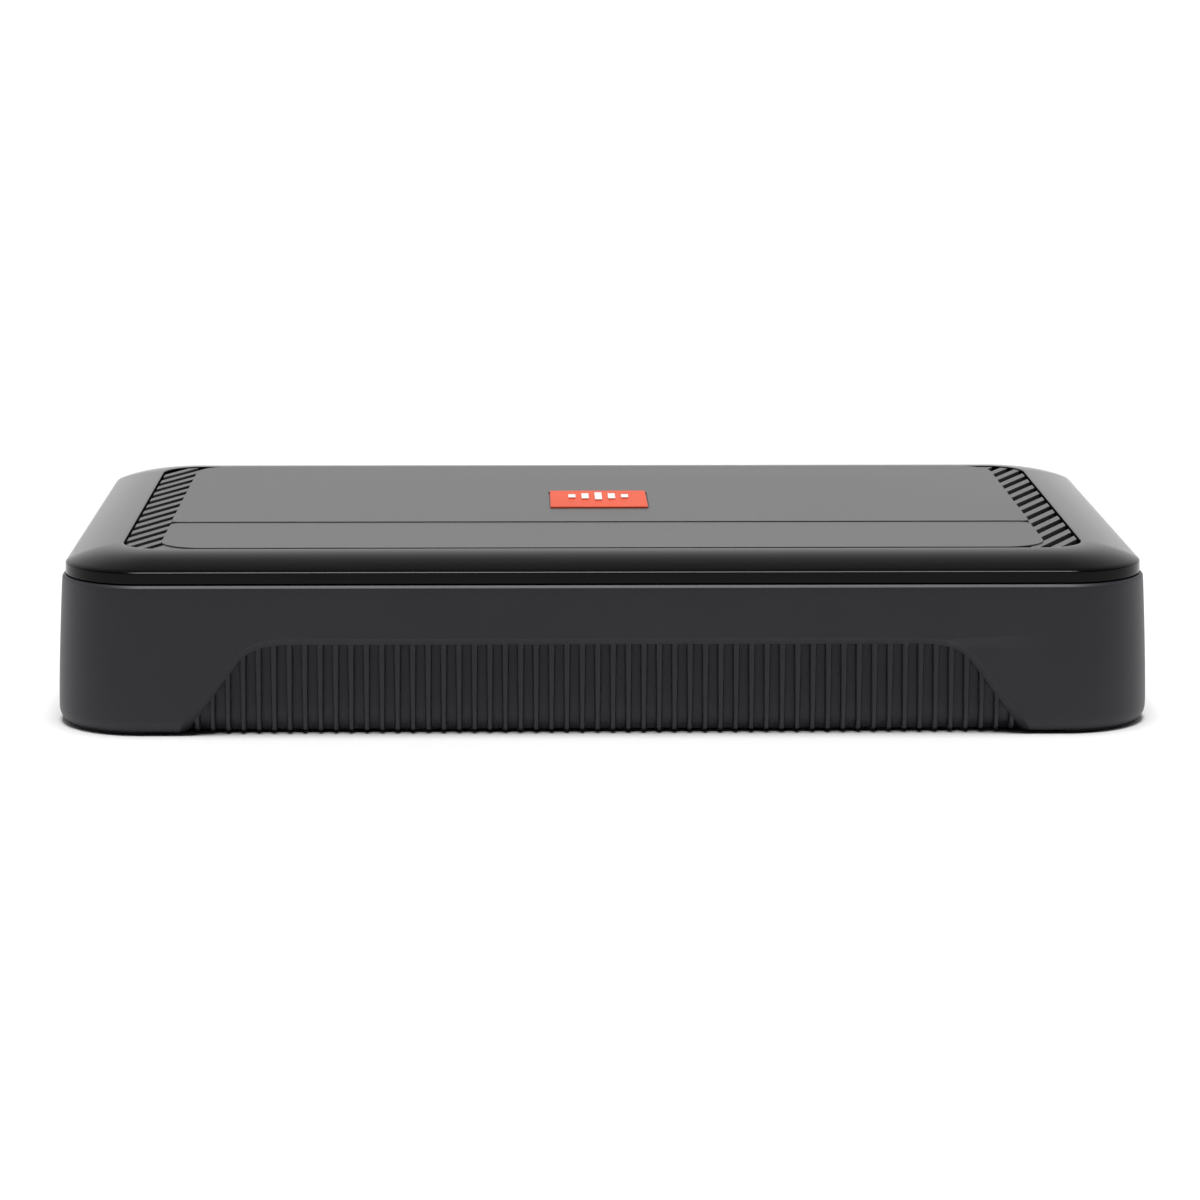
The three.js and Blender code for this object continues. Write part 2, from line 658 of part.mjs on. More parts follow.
const jackBlock = box(
  -BLOCK_FACE, JACK_BLOCK.x1, JACK_BLOCK.y0, JACK_BLOCK.y1, PART_Z0, JACK_BLOCK.z1,
);
add('input_panel', buildInputPanel(), FINISH.blackPlastic);
add('rca_jack_block', jackBlock, FINISH.blackPlastic);
for (const { label, y } of RCA) {
  add(`rca_jack_${label}`, rcaJack(y), FINISH.nickel);
}
add('speaker_level_socket', socketBody(SOCKETS.speaker_level), FINISH.white);
add('remote_bass_socket', socketBody(SOCKETS.remote_bass), FINISH.blackPlastic);
for (const { label, y } of KNOBS) {
  const can = slab(-BLOCK_FACE, POTENTIOMETER.x1, y, POTENTIOMETER.half, PART_Z0, POTENTIOMETER.z1);
  add(`${label}_potentiometer`, can, FINISH.steel);
  add(`${label}_knob`, knob(y), FINISH.blackPlastic);
}
for (const { label, y } of SWITCHES) {
  const frame = slab(-BLOCK_FACE, SWITCH.x1, y, SWITCH.half, PART_Z0, SWITCH.z1);
  add(`${label}_switch`, frame, FINISH.steel);
  const slider = slab(SLIDER.x0, -JACK_SEAT, y, SLIDER.half, SLIDER.z0, SLIDER.z1);
  add(`${label}_slider`, slider, FINISH.white);
}
for (const { label, y, finish } of LAMPS) {
  add(`${label}_lamp`, lamp(y), FINISH[finish]);
}

// ---- power end ----
function fuseHolder() {
  const f = FUSE;
  let holder = box(f.holderX0, f.holderFace, f.y0, f.y1, PART_Z0, f.z1 + f.roof);
  for (const { y } of FUSES) {
    holder = holder.subtract(slab(f.slotX0, f.holderFace + 1, y, f.slotHalf, f.z0, f.z1));
    for (const z of [f.z - f.bladeOffset, f.z + f.bladeOffset]) {
      const reach = f.bladeSlotReach;
      const slot = slab(f.bladeSlotX0, f.bladeX1, y, f.bladeSlotHalf, z - reach, z + reach);
      holder = holder.subtract(slot);
    }
  }
  return holder;
}

function bladeFuse(y) {
  const f = FUSE;
  const body = slab(f.bodyX0, f.bodyX1, y, f.bodyHalf, f.z0 + f.bodyMargin, f.z1 - f.bodyMargin);
  const head = slab(f.headX0, f.headX1, y, f.headHalf, f.z0 + f.headMargin, f.z1 - f.headMargin);
  let fuse = body.add(head);
  for (const z of [f.z - f.bladeOffset, f.z + f.bladeOffset]) {
    fuse = fuse.add(slab(f.bladeX0, f.bladeX1, y, f.bladeHalf, z - f.bladeReach, z + f.bladeReach));
  }
  return fuse;
}

function blockWindow(t, clamps) {
  const margin = t.pocketHalf + BLOCK_WALL + GAP;
  const y0 = clamps[0].y - margin;
  const y1 = clamps[clamps.length - 1].y + margin;
  return box(PANEL.cut0, PANEL.cut1, y0, y1, PART_Z0 - GAP, t.z1 + GAP);
}

function buildPowerPanel() {
  let panel = box(PANEL_IN, PANEL_OUT, -PANEL.halfY, PANEL.halfY, PANEL.z0, PANEL.z1);
  panel = panel.subtract(blockWindow(POWER, POWER_CLAMPS));
  panel = panel.subtract(blockWindow(SPEAKER, SPEAKER_CLAMPS));
  const top = FUSE.z1 + FUSE.roof + GAP;
  const fuseWindow = box(
    PANEL.cut0, PANEL.cut1, FUSE.y0 - GAP, FUSE.y1 + GAP, PART_Z0 - GAP, top,
  );
  return panel.subtract(fuseWindow);
}

add('power_panel', buildPowerPanel(), FINISH.blackPlastic);
add('power_terminal_block', terminalBlock(POWER, POWER_CLAMPS), FINISH.blackPlastic);
for (const { label, y } of POWER_CLAMPS) {
  add(`${label}_clamp_cage`, clampCage(POWER, y), FINISH.nickel);
  add(`${label}_clamp_screw`, clampScrew(POWER, y), FINISH.nickel);
}
add('speaker_terminal_block', terminalBlock(SPEAKER, SPEAKER_CLAMPS), FINISH.blackPlastic);
for (const { label, y } of SPEAKER_CLAMPS) {
  add(`speaker_${label}_clamp_cage`, clampCage(SPEAKER, y), FINISH.nickel);
  add(`speaker_${label}_clamp_screw`, clampScrew(SPEAKER, y), FINISH.nickel);
}
add('fuse_holder', fuseHolder(), FINISH.blackPlastic);
for (const { label, y } of FUSES) {
  add(`blade_fuse_${label}`, bladeFuse(y), FINISH.fuse);
}

// ---- top cover ----
// The convex bevel of the bezel: inset from the lip inwards while rising to the opening.
function bezelLevels(drop, grow) {
  const lerp = THREE.MathUtils.lerp;
  const band = insetLevel(BAND_BOTTOM - drop, BAND_INSET + grow);
  const lip = insetLevel(LIP_Z - drop, LIP_INSET + grow);
  const levels = [band, lip];
  for (let i = 1; i <= BEZEL_STEPS; i++) {
    const t = i / BEZEL_STEPS;
    levels.push({
      z: lip.z + (BEZEL_TOP - LIP_Z) * (1 - (1 - t) ** 2),
      hx: lerp(lip.hx, OPENING_HALF_L, t),
      hy: lerp(lip.hy, OPENING_HALF_D, t),
      r: lerp(lip.r, OPENING_R, t),
    });
  }
  return levels;
}

function buildBezel() {
  const shell = loft(bezelLevels(0, 0), 6);
  const hollow = loft(bezelLevels(BEZEL_WALL, 2.6), 6);
  const outline = roundedRect(OPENING_HALF_L, OPENING_HALF_D, OPENING_R);
  const opening = prism(outline, BODY_TOP, BADGE_TOP + 1, 6);
  return shell.subtract(hollow).subtract(opening);
}

// Tray under the plate and the grilles, open under each grille.
function buildTray() {
  const outline = roundedRect(TRAY_HALF_L, TRAY_HALF_D, TRAY_R);
  let tray = prism(outline, TRAY_Z0, TRAY_Z1, 6);
  for (const side of [-1, 1]) {
    const x = side * VENT_X;
    const vent = [x - VENT_HALF_W, x + VENT_HALF_W, 0, VENT_HALF_D, TRAY_Z0 - 1, TRAY_Z1 + 1];
    tray = tray.subtract(slab(...vent));
  }
  return tray;
}

const plateOutline = (grow) => roundedRect(PLATE_HALF_L + grow, PLATE_HALF_D + grow, PLATE_R + grow);

function buildCentrePlate() {
  const whole = prism(plateOutline(0), PLATE_Z0, PLATE_TOP, 7);
  const back = box(-HALF_L, HALF_L, SEAM_Y + SEAM_WIDTH / 2, HALF_D, BODY_TOP, BADGE_TOP);
  const room = BADGE_HALF_W + BADGE_CLEARANCE;
  const y0 = BADGE_Y0 - BADGE_CLEARANCE;
  const y1 = BADGE_Y1 + BADGE_CLEARANCE;
  const seat = box(-room, room, y0, y1, PLATE_TOP - BADGE_SEAT, PLATE_TOP + BADGE_SEAT);
  return whole.intersect(back).subtract(seat);
}

function buildFrontStrip() {
  const whole = prism(plateOutline(0), PLATE_Z0, PLATE_TOP, 7);
  const front = box(-HALF_L, HALF_L, -HALF_D, SEAM_Y - SEAM_WIDTH / 2, BODY_TOP, BADGE_TOP);
  return whole.intersect(front);
}

// A box on one side only, given as distances from the middle plane.
function sideBox(side, x0, x1, halfY, z0, z1) {
  return quadrantBox(side, 1, x0, x1, -halfY, halfY, z0, z1);
}

function buildGrille(side) {
  const m = GRILLE_MARGIN;
  const outline = roundedRect(OPENING_HALF_L - m, OPENING_HALF_D - m, OPENING_R - m);
  const field = prism(outline, GRILLE_BOTTOM, GRILLE_TOP, 7);
  const underPlate = prism(plateOutline(GAP), PLATE_Z0 - GAP, BADGE_TOP, 7);
  const half = sideBox(side, GRILLE_X, GRILLE_END, HALF_D, TRAY_Z0, BADGE_TOP);
  const room = slotRoom(side);
  let grille = field.subtract(underPlate).intersect(half);
  for (let i = 0; i < SLOT_COUNT; i++) {
    const y = (i - (SLOT_COUNT - 1) / 2) * SLOT_PITCH + SLOT_SHIFT;
    const cut = new THREE.BoxGeometry(60, SLOT_WIDTH, 20);
    cut.rotateZ(SLOT_ANGLE);
    cut.translate(side * VENT_X, y - side * SLOT_SKEW, GRILLE_TOP - 2);
    grille = grille.subtract(toSolid(cut).intersect(room));
  }
  // Outer rail that ties the bars together under the edge of the bezel.
  return grille.add(sideBox(side, RAIL.x0, RAIL.x1, RAIL.halfY, GRILLE_BOTTOM, RAIL.top));
}

// Where the slots may cut: from the edge of the plate outwards, but above a low rim that
// ties the ends of the bars together.
function slotRoom(side) {
  const low = TRAY_Z0 - 1;
  const high = BADGE_TOP + 1;
  const around = sideBox(side, GRILLE_X + 2, RAIL.x0 + 0.4, HALF_D - 16.5, low, high);
  const plateRoom = roundedRect(PLATE_HALF_L + GAP, PLATE_HALF_D - 1.6, PLATE_R - 1);
  const keep = prism(plateRoom, low - 1, high + 1, 7);
  const rimOut = prism(roundedRect(LOW_RIM.outL, LOW_RIM.outD, OPENING_R), low, LOW_RIM.top, 7);
  const rimIn = prism(roundedRect(LOW_RIM.inL, LOW_RIM.inD, LOW_RIM.inR), low - 1, high, 7);
  return around.subtract(keep).subtract(rimOut.subtract(rimIn));
}

function buildEmblem() {
  const z0 = BADGE_TOP + GAP;
  const z1 = z0 + EMBLEM_THICKNESS;
  const reach = EMBLEM_PITCH * (EMBLEM_HEIGHTS.length - 1) / 2;
  const tie = box(-reach, reach, EMBLEM_Y - EMBLEM_TIE, EMBLEM_Y + EMBLEM_TIE, z0, z1);
  return EMBLEM_HEIGHTS.reduce((emblem, height, i) => {
    const x = i * EMBLEM_PITCH - reach;
    const y0 = EMBLEM_Y - height / 2;
    return emblem.add(box(x - EMBLEM_HALF_WIDTH, x + EMBLEM_HALF_WIDTH, y0, y0 + height, z0, z1));
  }, tie);
}

add('cover_bezel', buildBezel(), FINISH.glossBlack);
add('cover_tray', buildTray(), FINISH.blackPlastic);
add('centre_plate', buildCentrePlate(), FINISH.greyPlate);
add('front_strip', buildFrontStrip(), FINISH.greyPlate);
add('vent_grille_left', buildGrille(-1), FINISH.greyPlate);
add('vent_grille_right', buildGrille(1), FINISH.greyPlate);
const tile = box(-BADGE_HALF_W, BADGE_HALF_W, BADGE_Y0, BADGE_Y1, PLATE_TOP - GAP, BADGE_TOP);
add('badge_plate', tile, FINISH.badge);
add('badge_emblem', buildEmblem(), FINISH.white);

export default amplifier;
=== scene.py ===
"""Car amplifier: the finished surfaces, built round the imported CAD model.

Sizes are millimetres unless a name says otherwise. X runs along the length, Y to the
back, Z up, and the origin is at the centre of the footprint.
"""
import math
import random

import bmesh
import bpy
from mathutils import Matrix, Vector


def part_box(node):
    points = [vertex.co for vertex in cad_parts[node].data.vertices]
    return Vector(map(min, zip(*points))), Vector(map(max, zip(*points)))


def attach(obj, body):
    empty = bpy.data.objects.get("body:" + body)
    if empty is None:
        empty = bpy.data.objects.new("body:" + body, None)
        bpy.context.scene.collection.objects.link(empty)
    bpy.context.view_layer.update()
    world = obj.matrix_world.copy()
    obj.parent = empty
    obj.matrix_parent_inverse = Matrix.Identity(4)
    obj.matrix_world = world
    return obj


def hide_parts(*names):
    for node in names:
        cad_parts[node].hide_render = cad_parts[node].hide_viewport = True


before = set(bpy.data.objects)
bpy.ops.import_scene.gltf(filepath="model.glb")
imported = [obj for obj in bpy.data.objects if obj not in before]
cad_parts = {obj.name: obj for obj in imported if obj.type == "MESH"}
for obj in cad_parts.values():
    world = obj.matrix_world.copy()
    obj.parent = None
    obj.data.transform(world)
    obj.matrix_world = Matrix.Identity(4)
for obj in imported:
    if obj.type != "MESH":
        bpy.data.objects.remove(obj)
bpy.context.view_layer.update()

MM = 0.001


def span(node):
    """Lowest and highest corner of a CAD node, in millimetres."""
    low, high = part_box(node)
    return low / MM, high / MM


def lerp(a, b, t):
    return a + (b - a) * t


def mirrored(sign, a, b):
    """The interval a to b, or its mirror image when the sign is negative, in rising order."""
    return sorted((sign * a, sign * b))


CORNERS = [(sx, sy) for sx in (-1, 1) for sy in (-1, 1)]
SIDES = (("front", -1), ("rear", 1))


# ---------------------------------------------------------------- driving sizes
case_low, case_high = span("chassis")
HALF_L = case_high.x
HALF_D = case_high.y
CORNER_R = 28.0
CASE_BOTTOM = case_low.z
CASE_TOP = 46.6
RIM_CHAMFER = 0.9
TOP_INSET = 1.7
DECK_TOP = 44.0
DECK_UNDER = 40.0
WALL_WIDEST_Z = 6.0
MOUNT_X, MOUNT_Y = 154, 90
MOUNT_R = 3.2
FOOT_HOLE_R = 3.8
BASE_SCREW_X, BASE_SCREW_Y = 70, 92.6
POWER_DRIVER_R = 4.4
SPEAKER_DRIVER_R = 3.8

RIB_COUNT = 54
RIB_PITCH = 4.74
RIB_SETBACK = 2.1
VALLEY_SETBACK = 4.4

bezel_high = span("cover_bezel")[1]
BAND_BOTTOM = 47.0
LIP_Z = 50.6
BEZEL_TOP = bezel_high.z
OPENING = (150.3, 83.8, 13.0)
LIP = (bezel_high.x - 0.2, bezel_high.y - 0.2, 25.1)

plate_low, plate_high = span("centre_plate")
PLATE_TOP = plate_high.z
PLATE_HALF_L = plate_high.x
PLATE_HALF_D = plate_high.y
PLATE_R = 13.0

SLOT_COUNT = 15
SLOT_PITCH = 12.94
SLOT_ANGLE = math.radians(64)
SLOT_WIDTH = 2.9
SLOT_SHIFT = 0.15
SLOT_SKEW = 3.85
VENT_X = 144.4
STRIP_DROP = 0.3
BAR_PITCH = 4.4


def wall_inset(z):
    """How far the case wall stands inside its widest outline at height z."""
    foot_round = 2.4 * max(0.0, 1 - z / 5.0) ** 2.2
    climb = (z - WALL_WIDEST_Z) / (CASE_TOP - RIM_CHAMFER - WALL_WIDEST_Z)
    return foot_round + TOP_INSET * max(0.0, climb) ** 1.4


# ---------------------------------------------------------------- closed shells
class Shells:
    """Closed shells gathered into one mesh."""

    def __init__(self):
        self.points = []
        self.faces = []

    def add(self, points, faces, turn=None):
        start = len(self.points)
        for point in points:
            point = Vector(point)
            self.points.append(turn @ point if turn else point)
        self.faces += [[start + i for i in face] for face in faces]
        return self

    def loft(self, loops, ring=False, turn=None):
        """Skins loops of equal length. A ring joins the last loop to the first."""
        n = len(loops[0])
        points = [p for loop in loops for p in loop]
        faces = []
        pairs = len(loops) if ring else len(loops) - 1
        for k in range(pairs):
            a, b = k * n, ((k + 1) % len(loops)) * n
            for i in range(n):
                j = (i + 1) % n
                faces.append([a + i, a + j, b + j, b + i])
        if not ring:
            faces.append(list(range(n - 1, -1, -1)))
            faces.append([(len(loops) - 1) * n + i for i in range(n)])
        return self.add(points, faces, turn)

    def turned(self, profile, sides=48, turn=None):
        """A solid of revolution about Z; the profile starts and ends on the axis."""
        ring_radii = profile[1:-1]
        points = [(0, 0, profile[0][1])]
        for r, z in ring_radii:
            for i in range(sides):
                a = 2 * math.pi * i / sides
                points.append((r * math.cos(a), r * math.sin(a), z))
        points.append((0, 0, profile[-1][1]))
        faces = []
        last = len(points) - 1
        for i in range(sides):
            j = (i + 1) % sides
            faces.append([0, 1 + j, 1 + i])
            for k in range(len(ring_radii) - 1):
                a, b = 1 + k * sides, 1 + (k + 1) * sides
                faces.append([a + i, a + j, b + j, b + i])
            top = 1 + (len(ring_radii) - 1) * sides
            faces.append([top + i, top + j, last])
        return self.add(points, faces, turn)

    def box(self, x0, x1, y0, y1, z0, z1, turn=None):
        low = [(x0, y0, z0), (x1, y0, z0), (x1, y1, z0), (x0, y1, z0)]
        high = [(x, y, z1) for x, y, _ in low]
        return self.loft([low, high], turn=turn)

    def prism(self, outline, z0, z1, turn=None):
        return self.loft([[(x, y, z) for x, y in outline] for z in (z0, z1)], turn=turn)


def rounded_outline(hx, hy, r, per_corner=16, centre=(0, 0)):
    points = []
    for k, (sx, sy) in enumerate(((1, -1), (1, 1), (-1, 1), (-1, -1))):
        for i in range(per_corner + 1):
            a = math.radians(90 * (k - 1) + 90 * i / per_corner)
            x = sx * (hx - r) + r * math.cos(a)
            y = sy * (hy - r) + r * math.sin(a)
            points.append((centre[0] + x, centre[1] + y))
    return points


def level(z, hx, hy, r, per_corner=16):
    return [(x, y, z) for x, y in rounded_outline(hx, hy, r, per_corner)]


def case_level(z, extra=0.0, per_corner=20):
    inset = wall_inset(z) + extra
    return level(z, HALF_L - inset, HALF_D - inset, CORNER_R - inset, per_corner)


def ring_loops(profile, sides, x=0, y=0):
    """Loops for a ring-shaped solid of revolution about an upright axis."""
    angles = [2 * math.pi * k / sides for k in range(sides)]
    return [[(x + r * math.cos(a), y + r * math.sin(a), z) for a in angles] for r, z in profile]


def rod(r, z0, z1, sides, place):
    return Shells().turned([(0, z0), (r, z0), (r, z1), (0, z1)], sides, place)


def along_x(x, y, z, sign=1):
    """Turns a shape built up the Z axis so that it points along +X or -X from a place."""
    return Matrix.Translation((x, y, z)) @ Matrix.Rotation(math.radians(90 * sign), 4, "Y")


def at(x, y, z):
    return Matrix.Translation((x, y, z))


def turned_x(profile, x, y, z, sign, sides=48):
    """A turned shape that points along +X or -X from a place."""
    return Shells().turned(profile, sides, along_x(x, y, z, sign))


def centre(node):
    low, high = span(node)
    return (low + high) / 2


def boxed(low, high):
    return Shells().box(low.x, high.x, low.y, high.y, low.z, high.z)


# ---------------------------------------------------------------- materials
def new_material(name):
    material = bpy.data.materials.new(name)
    material.use_nodes = True
    nodes = material.node_tree.nodes
    return material, nodes, material.node_tree.links, nodes["Principled BSDF"]


def noise(nodes, links, scale, detail=4.0, roughness=0.6, stretch=(1, 1, 1)):
    coordinates = nodes.new("ShaderNodeTexCoord")
    mapping = nodes.new("ShaderNodeMapping")
    mapping.inputs["Scale"].default_value = stretch
    texture = nodes.new("ShaderNodeTexNoise")
    texture.inputs["Scale"].default_value = scale
    texture.inputs["Detail"].default_value = detail
    texture.inputs["Roughness"].default_value = roughness
    links.new(coordinates.outputs["Object"], mapping.inputs["Vector"])
    links.new(mapping.outputs["Vector"], texture.inputs["Vector"])
    return texture.outputs["Fac"]


def ramp(nodes, links, value, low, high, low_at=0.3, high_at=0.7):
    """Spreads a 0 to 1 value between two colours."""
    node = nodes.new("ShaderNodeValToRGB")
    node.color_ramp.elements[0].position = low_at
    node.color_ramp.elements[1].position = high_at
    node.color_ramp.elements[0].color = (*low, 1)
    node.color_ramp.elements[1].color = (*high, 1)
    links.new(value, node.inputs["Fac"])
    return node.outputs["Color"]


def spread(nodes, links, value, low, high):
    """Spreads a 0 to 1 value between two numbers."""
    node = nodes.new("ShaderNodeMapRange")
    node.inputs["From Min"].default_value = 0.25
    node.inputs["From Max"].default_value = 0.75
    node.inputs["To Min"].default_value = low
    node.inputs["To Max"].default_value = high
    links.new(value, node.inputs["Value"])
    return node.outputs["Result"]


def shade(colour, factor):
    return tuple(c * factor for c in colour)


def finish_material(
    name, colour, roughness, metallic=0.0, variation=0.12, cloud=60, grain=2500, bump=0.1,
    bump_height=0.00004, stretch=(1, 1, 1), wear=0.25, coat=0.0, specular=0.5, transmission=0.0,
    roughness_swing=0.06, emission=None,
):
    """A procedural finish: cloudy colour, grain in the bump, and lighter worn edges."""
    material, nodes, links, shader = new_material(name)
    clouds = noise(nodes, links, cloud, 5.0)
    colours = ramp(nodes, links, clouds, shade(colour, 1 - variation), shade(colour, 1 + variation))
    if wear > 0:
        geometry = nodes.new("ShaderNodeNewGeometry")
        edge = nodes.new("ShaderNodeMapRange")
        edge.inputs["From Min"].default_value = 0.53
        edge.inputs["From Max"].default_value = 0.62
        edge.inputs["To Max"].default_value = wear
        links.new(geometry.outputs["Pointiness"], edge.inputs["Value"])
        worn = nodes.new("ShaderNodeMix")
        worn.data_type = "RGBA"
        links.new(edge.outputs["Result"], worn.inputs["Factor"])
        links.new(colours, worn.inputs["A"])
        worn.inputs["B"].default_value = (*(min(1.0, c * 1.8 + 0.02) for c in colour), 1)
        colours = worn.outputs["Result"]
    links.new(colours, shader.inputs["Base Color"])
    fine = noise(nodes, links, grain, 3.0, 0.7, stretch)
    low, high = max(0.02, roughness - roughness_swing), min(1.0, roughness + roughness_swing)
    links.new(spread(nodes, links, fine, low, high), shader.inputs["Roughness"])
    height = nodes.new("ShaderNodeBump")
    height.inputs["Strength"].default_value = bump
    height.inputs["Distance"].default_value = bump_height
    links.new(fine, height.inputs["Height"])
    links.new(height.outputs["Normal"], shader.inputs["Normal"])
    shader.inputs["Metallic"].default_value = metallic
    shader.inputs["Coat Weight"].default_value = coat
    shader.inputs["Coat Roughness"].default_value = 0.08
    shader.inputs["Specular IOR Level"].default_value = specular
    shader.inputs["Transmission Weight"].default_value = transmission
    if emission:
        shader.inputs["Emission Color"].default_value = (*emission, 1)
        shader.inputs["Emission Strength"].default_value = 0.15
    return material


FINISHES = {
    "cast_black": finish_material(
        "cast_black_coat", (0.027, 0.026, 0.032), 0.44, variation=0.06, cloud=35, grain=5200,
        bump=0.16, bump_height=0.00003, wear=0.2, specular=0.32),
    "gloss_black": finish_material(
        "piano_black", (0.002, 0.002, 0.002), 0.13, variation=0.05, cloud=20, grain=900,
        bump=0.02, bump_height=0.00002, wear=0.0, roughness_swing=0.02, specular=0.12),
    # Painted sheen: the top plates and grille bars are the case's dark plastic; this lighter grey colour
    # stands in for the sheen they show at a grazing view.
    "grey_satin": finish_material(
        "grey_satin", (0.080, 0.080, 0.080), 0.42, variation=0.03, cloud=18, grain=5600,
        bump=0.12, bump_height=0.00002, wear=0.12),
    "badge_orange": finish_material(
        "badge_orange", (0.70, 0.072, 0.020), 0.45, variation=0.03, cloud=90, grain=3000,
        bump=0.03, wear=0.15, specular=0.12),
    "badge_white": finish_material(
        "badge_white", (0.86, 0.86, 0.85), 0.35, variation=0.02, grain=2500, bump=0.03, wear=0.0),
    "foot_rubber": finish_material(
        "foot_rubber", (0.018, 0.0182, 0.018), 0.72, variation=0.15, cloud=220, grain=4200,
        bump=0.3, wear=0.15),
    "bare_steel": finish_material(
        "zinc_sheet", (0.52, 0.53, 0.54), 0.34, metallic=1.0, variation=0.08, cloud=120,
        grain=1400, bump=0.05, stretch=(1, 14, 1), wear=0.2, roughness_swing=0.1),
    "circuit_board": finish_material(
        "solder_mask", (0.022, 0.16, 0.055), 0.35, variation=0.25, cloud=400, grain=3000,
        bump=0.15, wear=0.3),
    "copper_wire": finish_material(
        "enamelled_copper", (0.62, 0.22, 0.07), 0.28, metallic=0.9, variation=0.2, cloud=300,
        grain=900, bump=0.5, bump_height=0.0002, stretch=(1, 1, 9), wear=0.3),
    "capacitor_sleeve": finish_material(
        "capacitor_sleeve", (0.03, 0.04, 0.10), 0.3, variation=0.1, wear=0.2),
    "panel_black": finish_material(
        "panel_coat", (0.016, 0.016, 0.017), 0.5, variation=0.08, cloud=70, grain=3600,
        bump=0.3, bump_height=0.00006, wear=0.25),
    "connector_black": finish_material(
        "connector_moulding", (0.022, 0.022, 0.023), 0.48, variation=0.1, cloud=90, grain=2600,
        bump=0.15, wear=0.3),
    "knob_black": finish_material(
        "knob_moulding", (0.03, 0.03, 0.031), 0.4, variation=0.08, grain=2600, bump=0.1, wear=0.3),
    "white_plastic": finish_material(
        "white_nylon", (0.78, 0.76, 0.70), 0.45, variation=0.04, grain=2400, bump=0.08, wear=0.0),
    "nickel_plate": finish_material(
        "nickel_plate", (0.72, 0.69, 0.63), 0.22, metallic=1.0, variation=0.07, cloud=160,
        grain=1700, bump=0.06, wear=0.15, roughness_swing=0.08),
    "gold_plate": finish_material(
        "gold_plate", (0.86, 0.60, 0.22), 0.22, metallic=1.0, variation=0.07, cloud=160,
        grain=1700, bump=0.05, wear=0.1),
    "fuse_amber": finish_material(
        "fuse_amber", (0.92, 0.42, 0.03), 0.18, variation=0.06, grain=900, bump=0.03, wear=0.0,
        transmission=0.35),
    "red_insulator": finish_material(
        "red_nylon", (0.55, 0.02, 0.02), 0.4, variation=0.05, grain=2400, bump=0.08, wear=0.0),
    "lamp_green": finish_material(
        "green_lens", (0.06, 0.62, 0.16), 0.12, variation=0.05, bump=0.02, wear=0.0,
        transmission=0.5, emission=(0.05, 0.8, 0.15)),
    "lamp_red": finish_material(
        "red_lens", (0.72, 0.04, 0.03), 0.15, variation=0.05, bump=0.02, wear=0.0,
        transmission=0.3),
}


# ---------------------------------------------------------------- pieces
def link(name, data):
    obj = bpy.data.objects.new(name, data)
    bpy.context.scene.collection.objects.link(obj)
    return obj


def mesh_object(name, shells):
    mesh = bpy.data.meshes.new(name)
    mesh.from_pydata([tuple(p * MM) for p in shells.points], [], shells.faces)
    mesh.validate()
    obj = link(name, mesh)
    recalc_outward(obj)
    return obj


def recalc_outward(obj):
    bm = bmesh.new()
    bm.from_mesh(obj.data)
    bmesh.ops.recalc_face_normals(bm, faces=bm.faces)
    if bm.calc_volume(signed=True) < 0:
        bmesh.ops.reverse_faces(bm, faces=bm.faces)
    bm.to_mesh(obj.data)
    bm.free()


def apply_modifiers(obj):
    graph = bpy.context.evaluated_depsgraph_get()
    mesh = bpy.data.meshes.new_from_object(obj.evaluated_get(graph))
    obj.modifiers.clear()
    obj.data = mesh


def cut(obj, cutters, operation="DIFFERENCE"):
    """Cuts objects out of obj, one after another, and removes them."""
    for cutter in cutters:
        modifier = obj.modifiers.new("cut", "BOOLEAN")
        modifier.operation = operation
        modifier.solver = "EXACT"
        modifier.object = cutter
        apply_modifiers(obj)
        bpy.data.objects.remove(cutter)


def round_edges(obj, width, segments=2, angle=30):
    modifier = obj.modifiers.new("edges", "BEVEL")
    modifier.width = width * MM
    modifier.segments = segments
    modifier.limit_method = "ANGLE"
    modifier.angle_limit = math.radians(angle)
    modifier.use_clamp_overlap = True
    modifier.miter_outer = "MITER_ARC"
    apply_modifiers(obj)


def smooth(obj, angle=38):
    """Smooth shading that leaves corners sharp and lets the large faces stay flat."""
    obj.data.shade_smooth()
    obj.data.set_sharp_from_angle(angle=math.radians(angle))
    modifier = obj.modifiers.new("normals", "WEIGHTED_NORMAL")
    modifier.keep_sharp = True
    apply_modifiers(obj)


def dress(obj, body, slot, nodes=(), finish=None):
    """Gives a finished mesh the material of its slot or finish, a body to ride on, and hides the nodes it
    replaces.
    """
    obj.data.materials.clear()
    obj.data.materials.append(FINISHES[finish or slot])
    for polygon in obj.data.polygons:
        polygon.material_index = 0
    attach(obj, body)
    if nodes:
        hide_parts(*nodes)


def piece(name, shells, body, slot, nodes=(), edge=0.0, segments=2, finish=None, cutters=(), angle=38):
    """Makes a piece: cuts it, rounds its edges, smooths it and dresses it."""
    obj = mesh_object(name, shells)
    cut(obj, [mesh_object(name + "_cutter", c) for c in cutters])
    if edge:
        round_edges(obj, edge, segments)
    smooth(obj, angle)
    dress(obj, body, slot, nodes, finish)


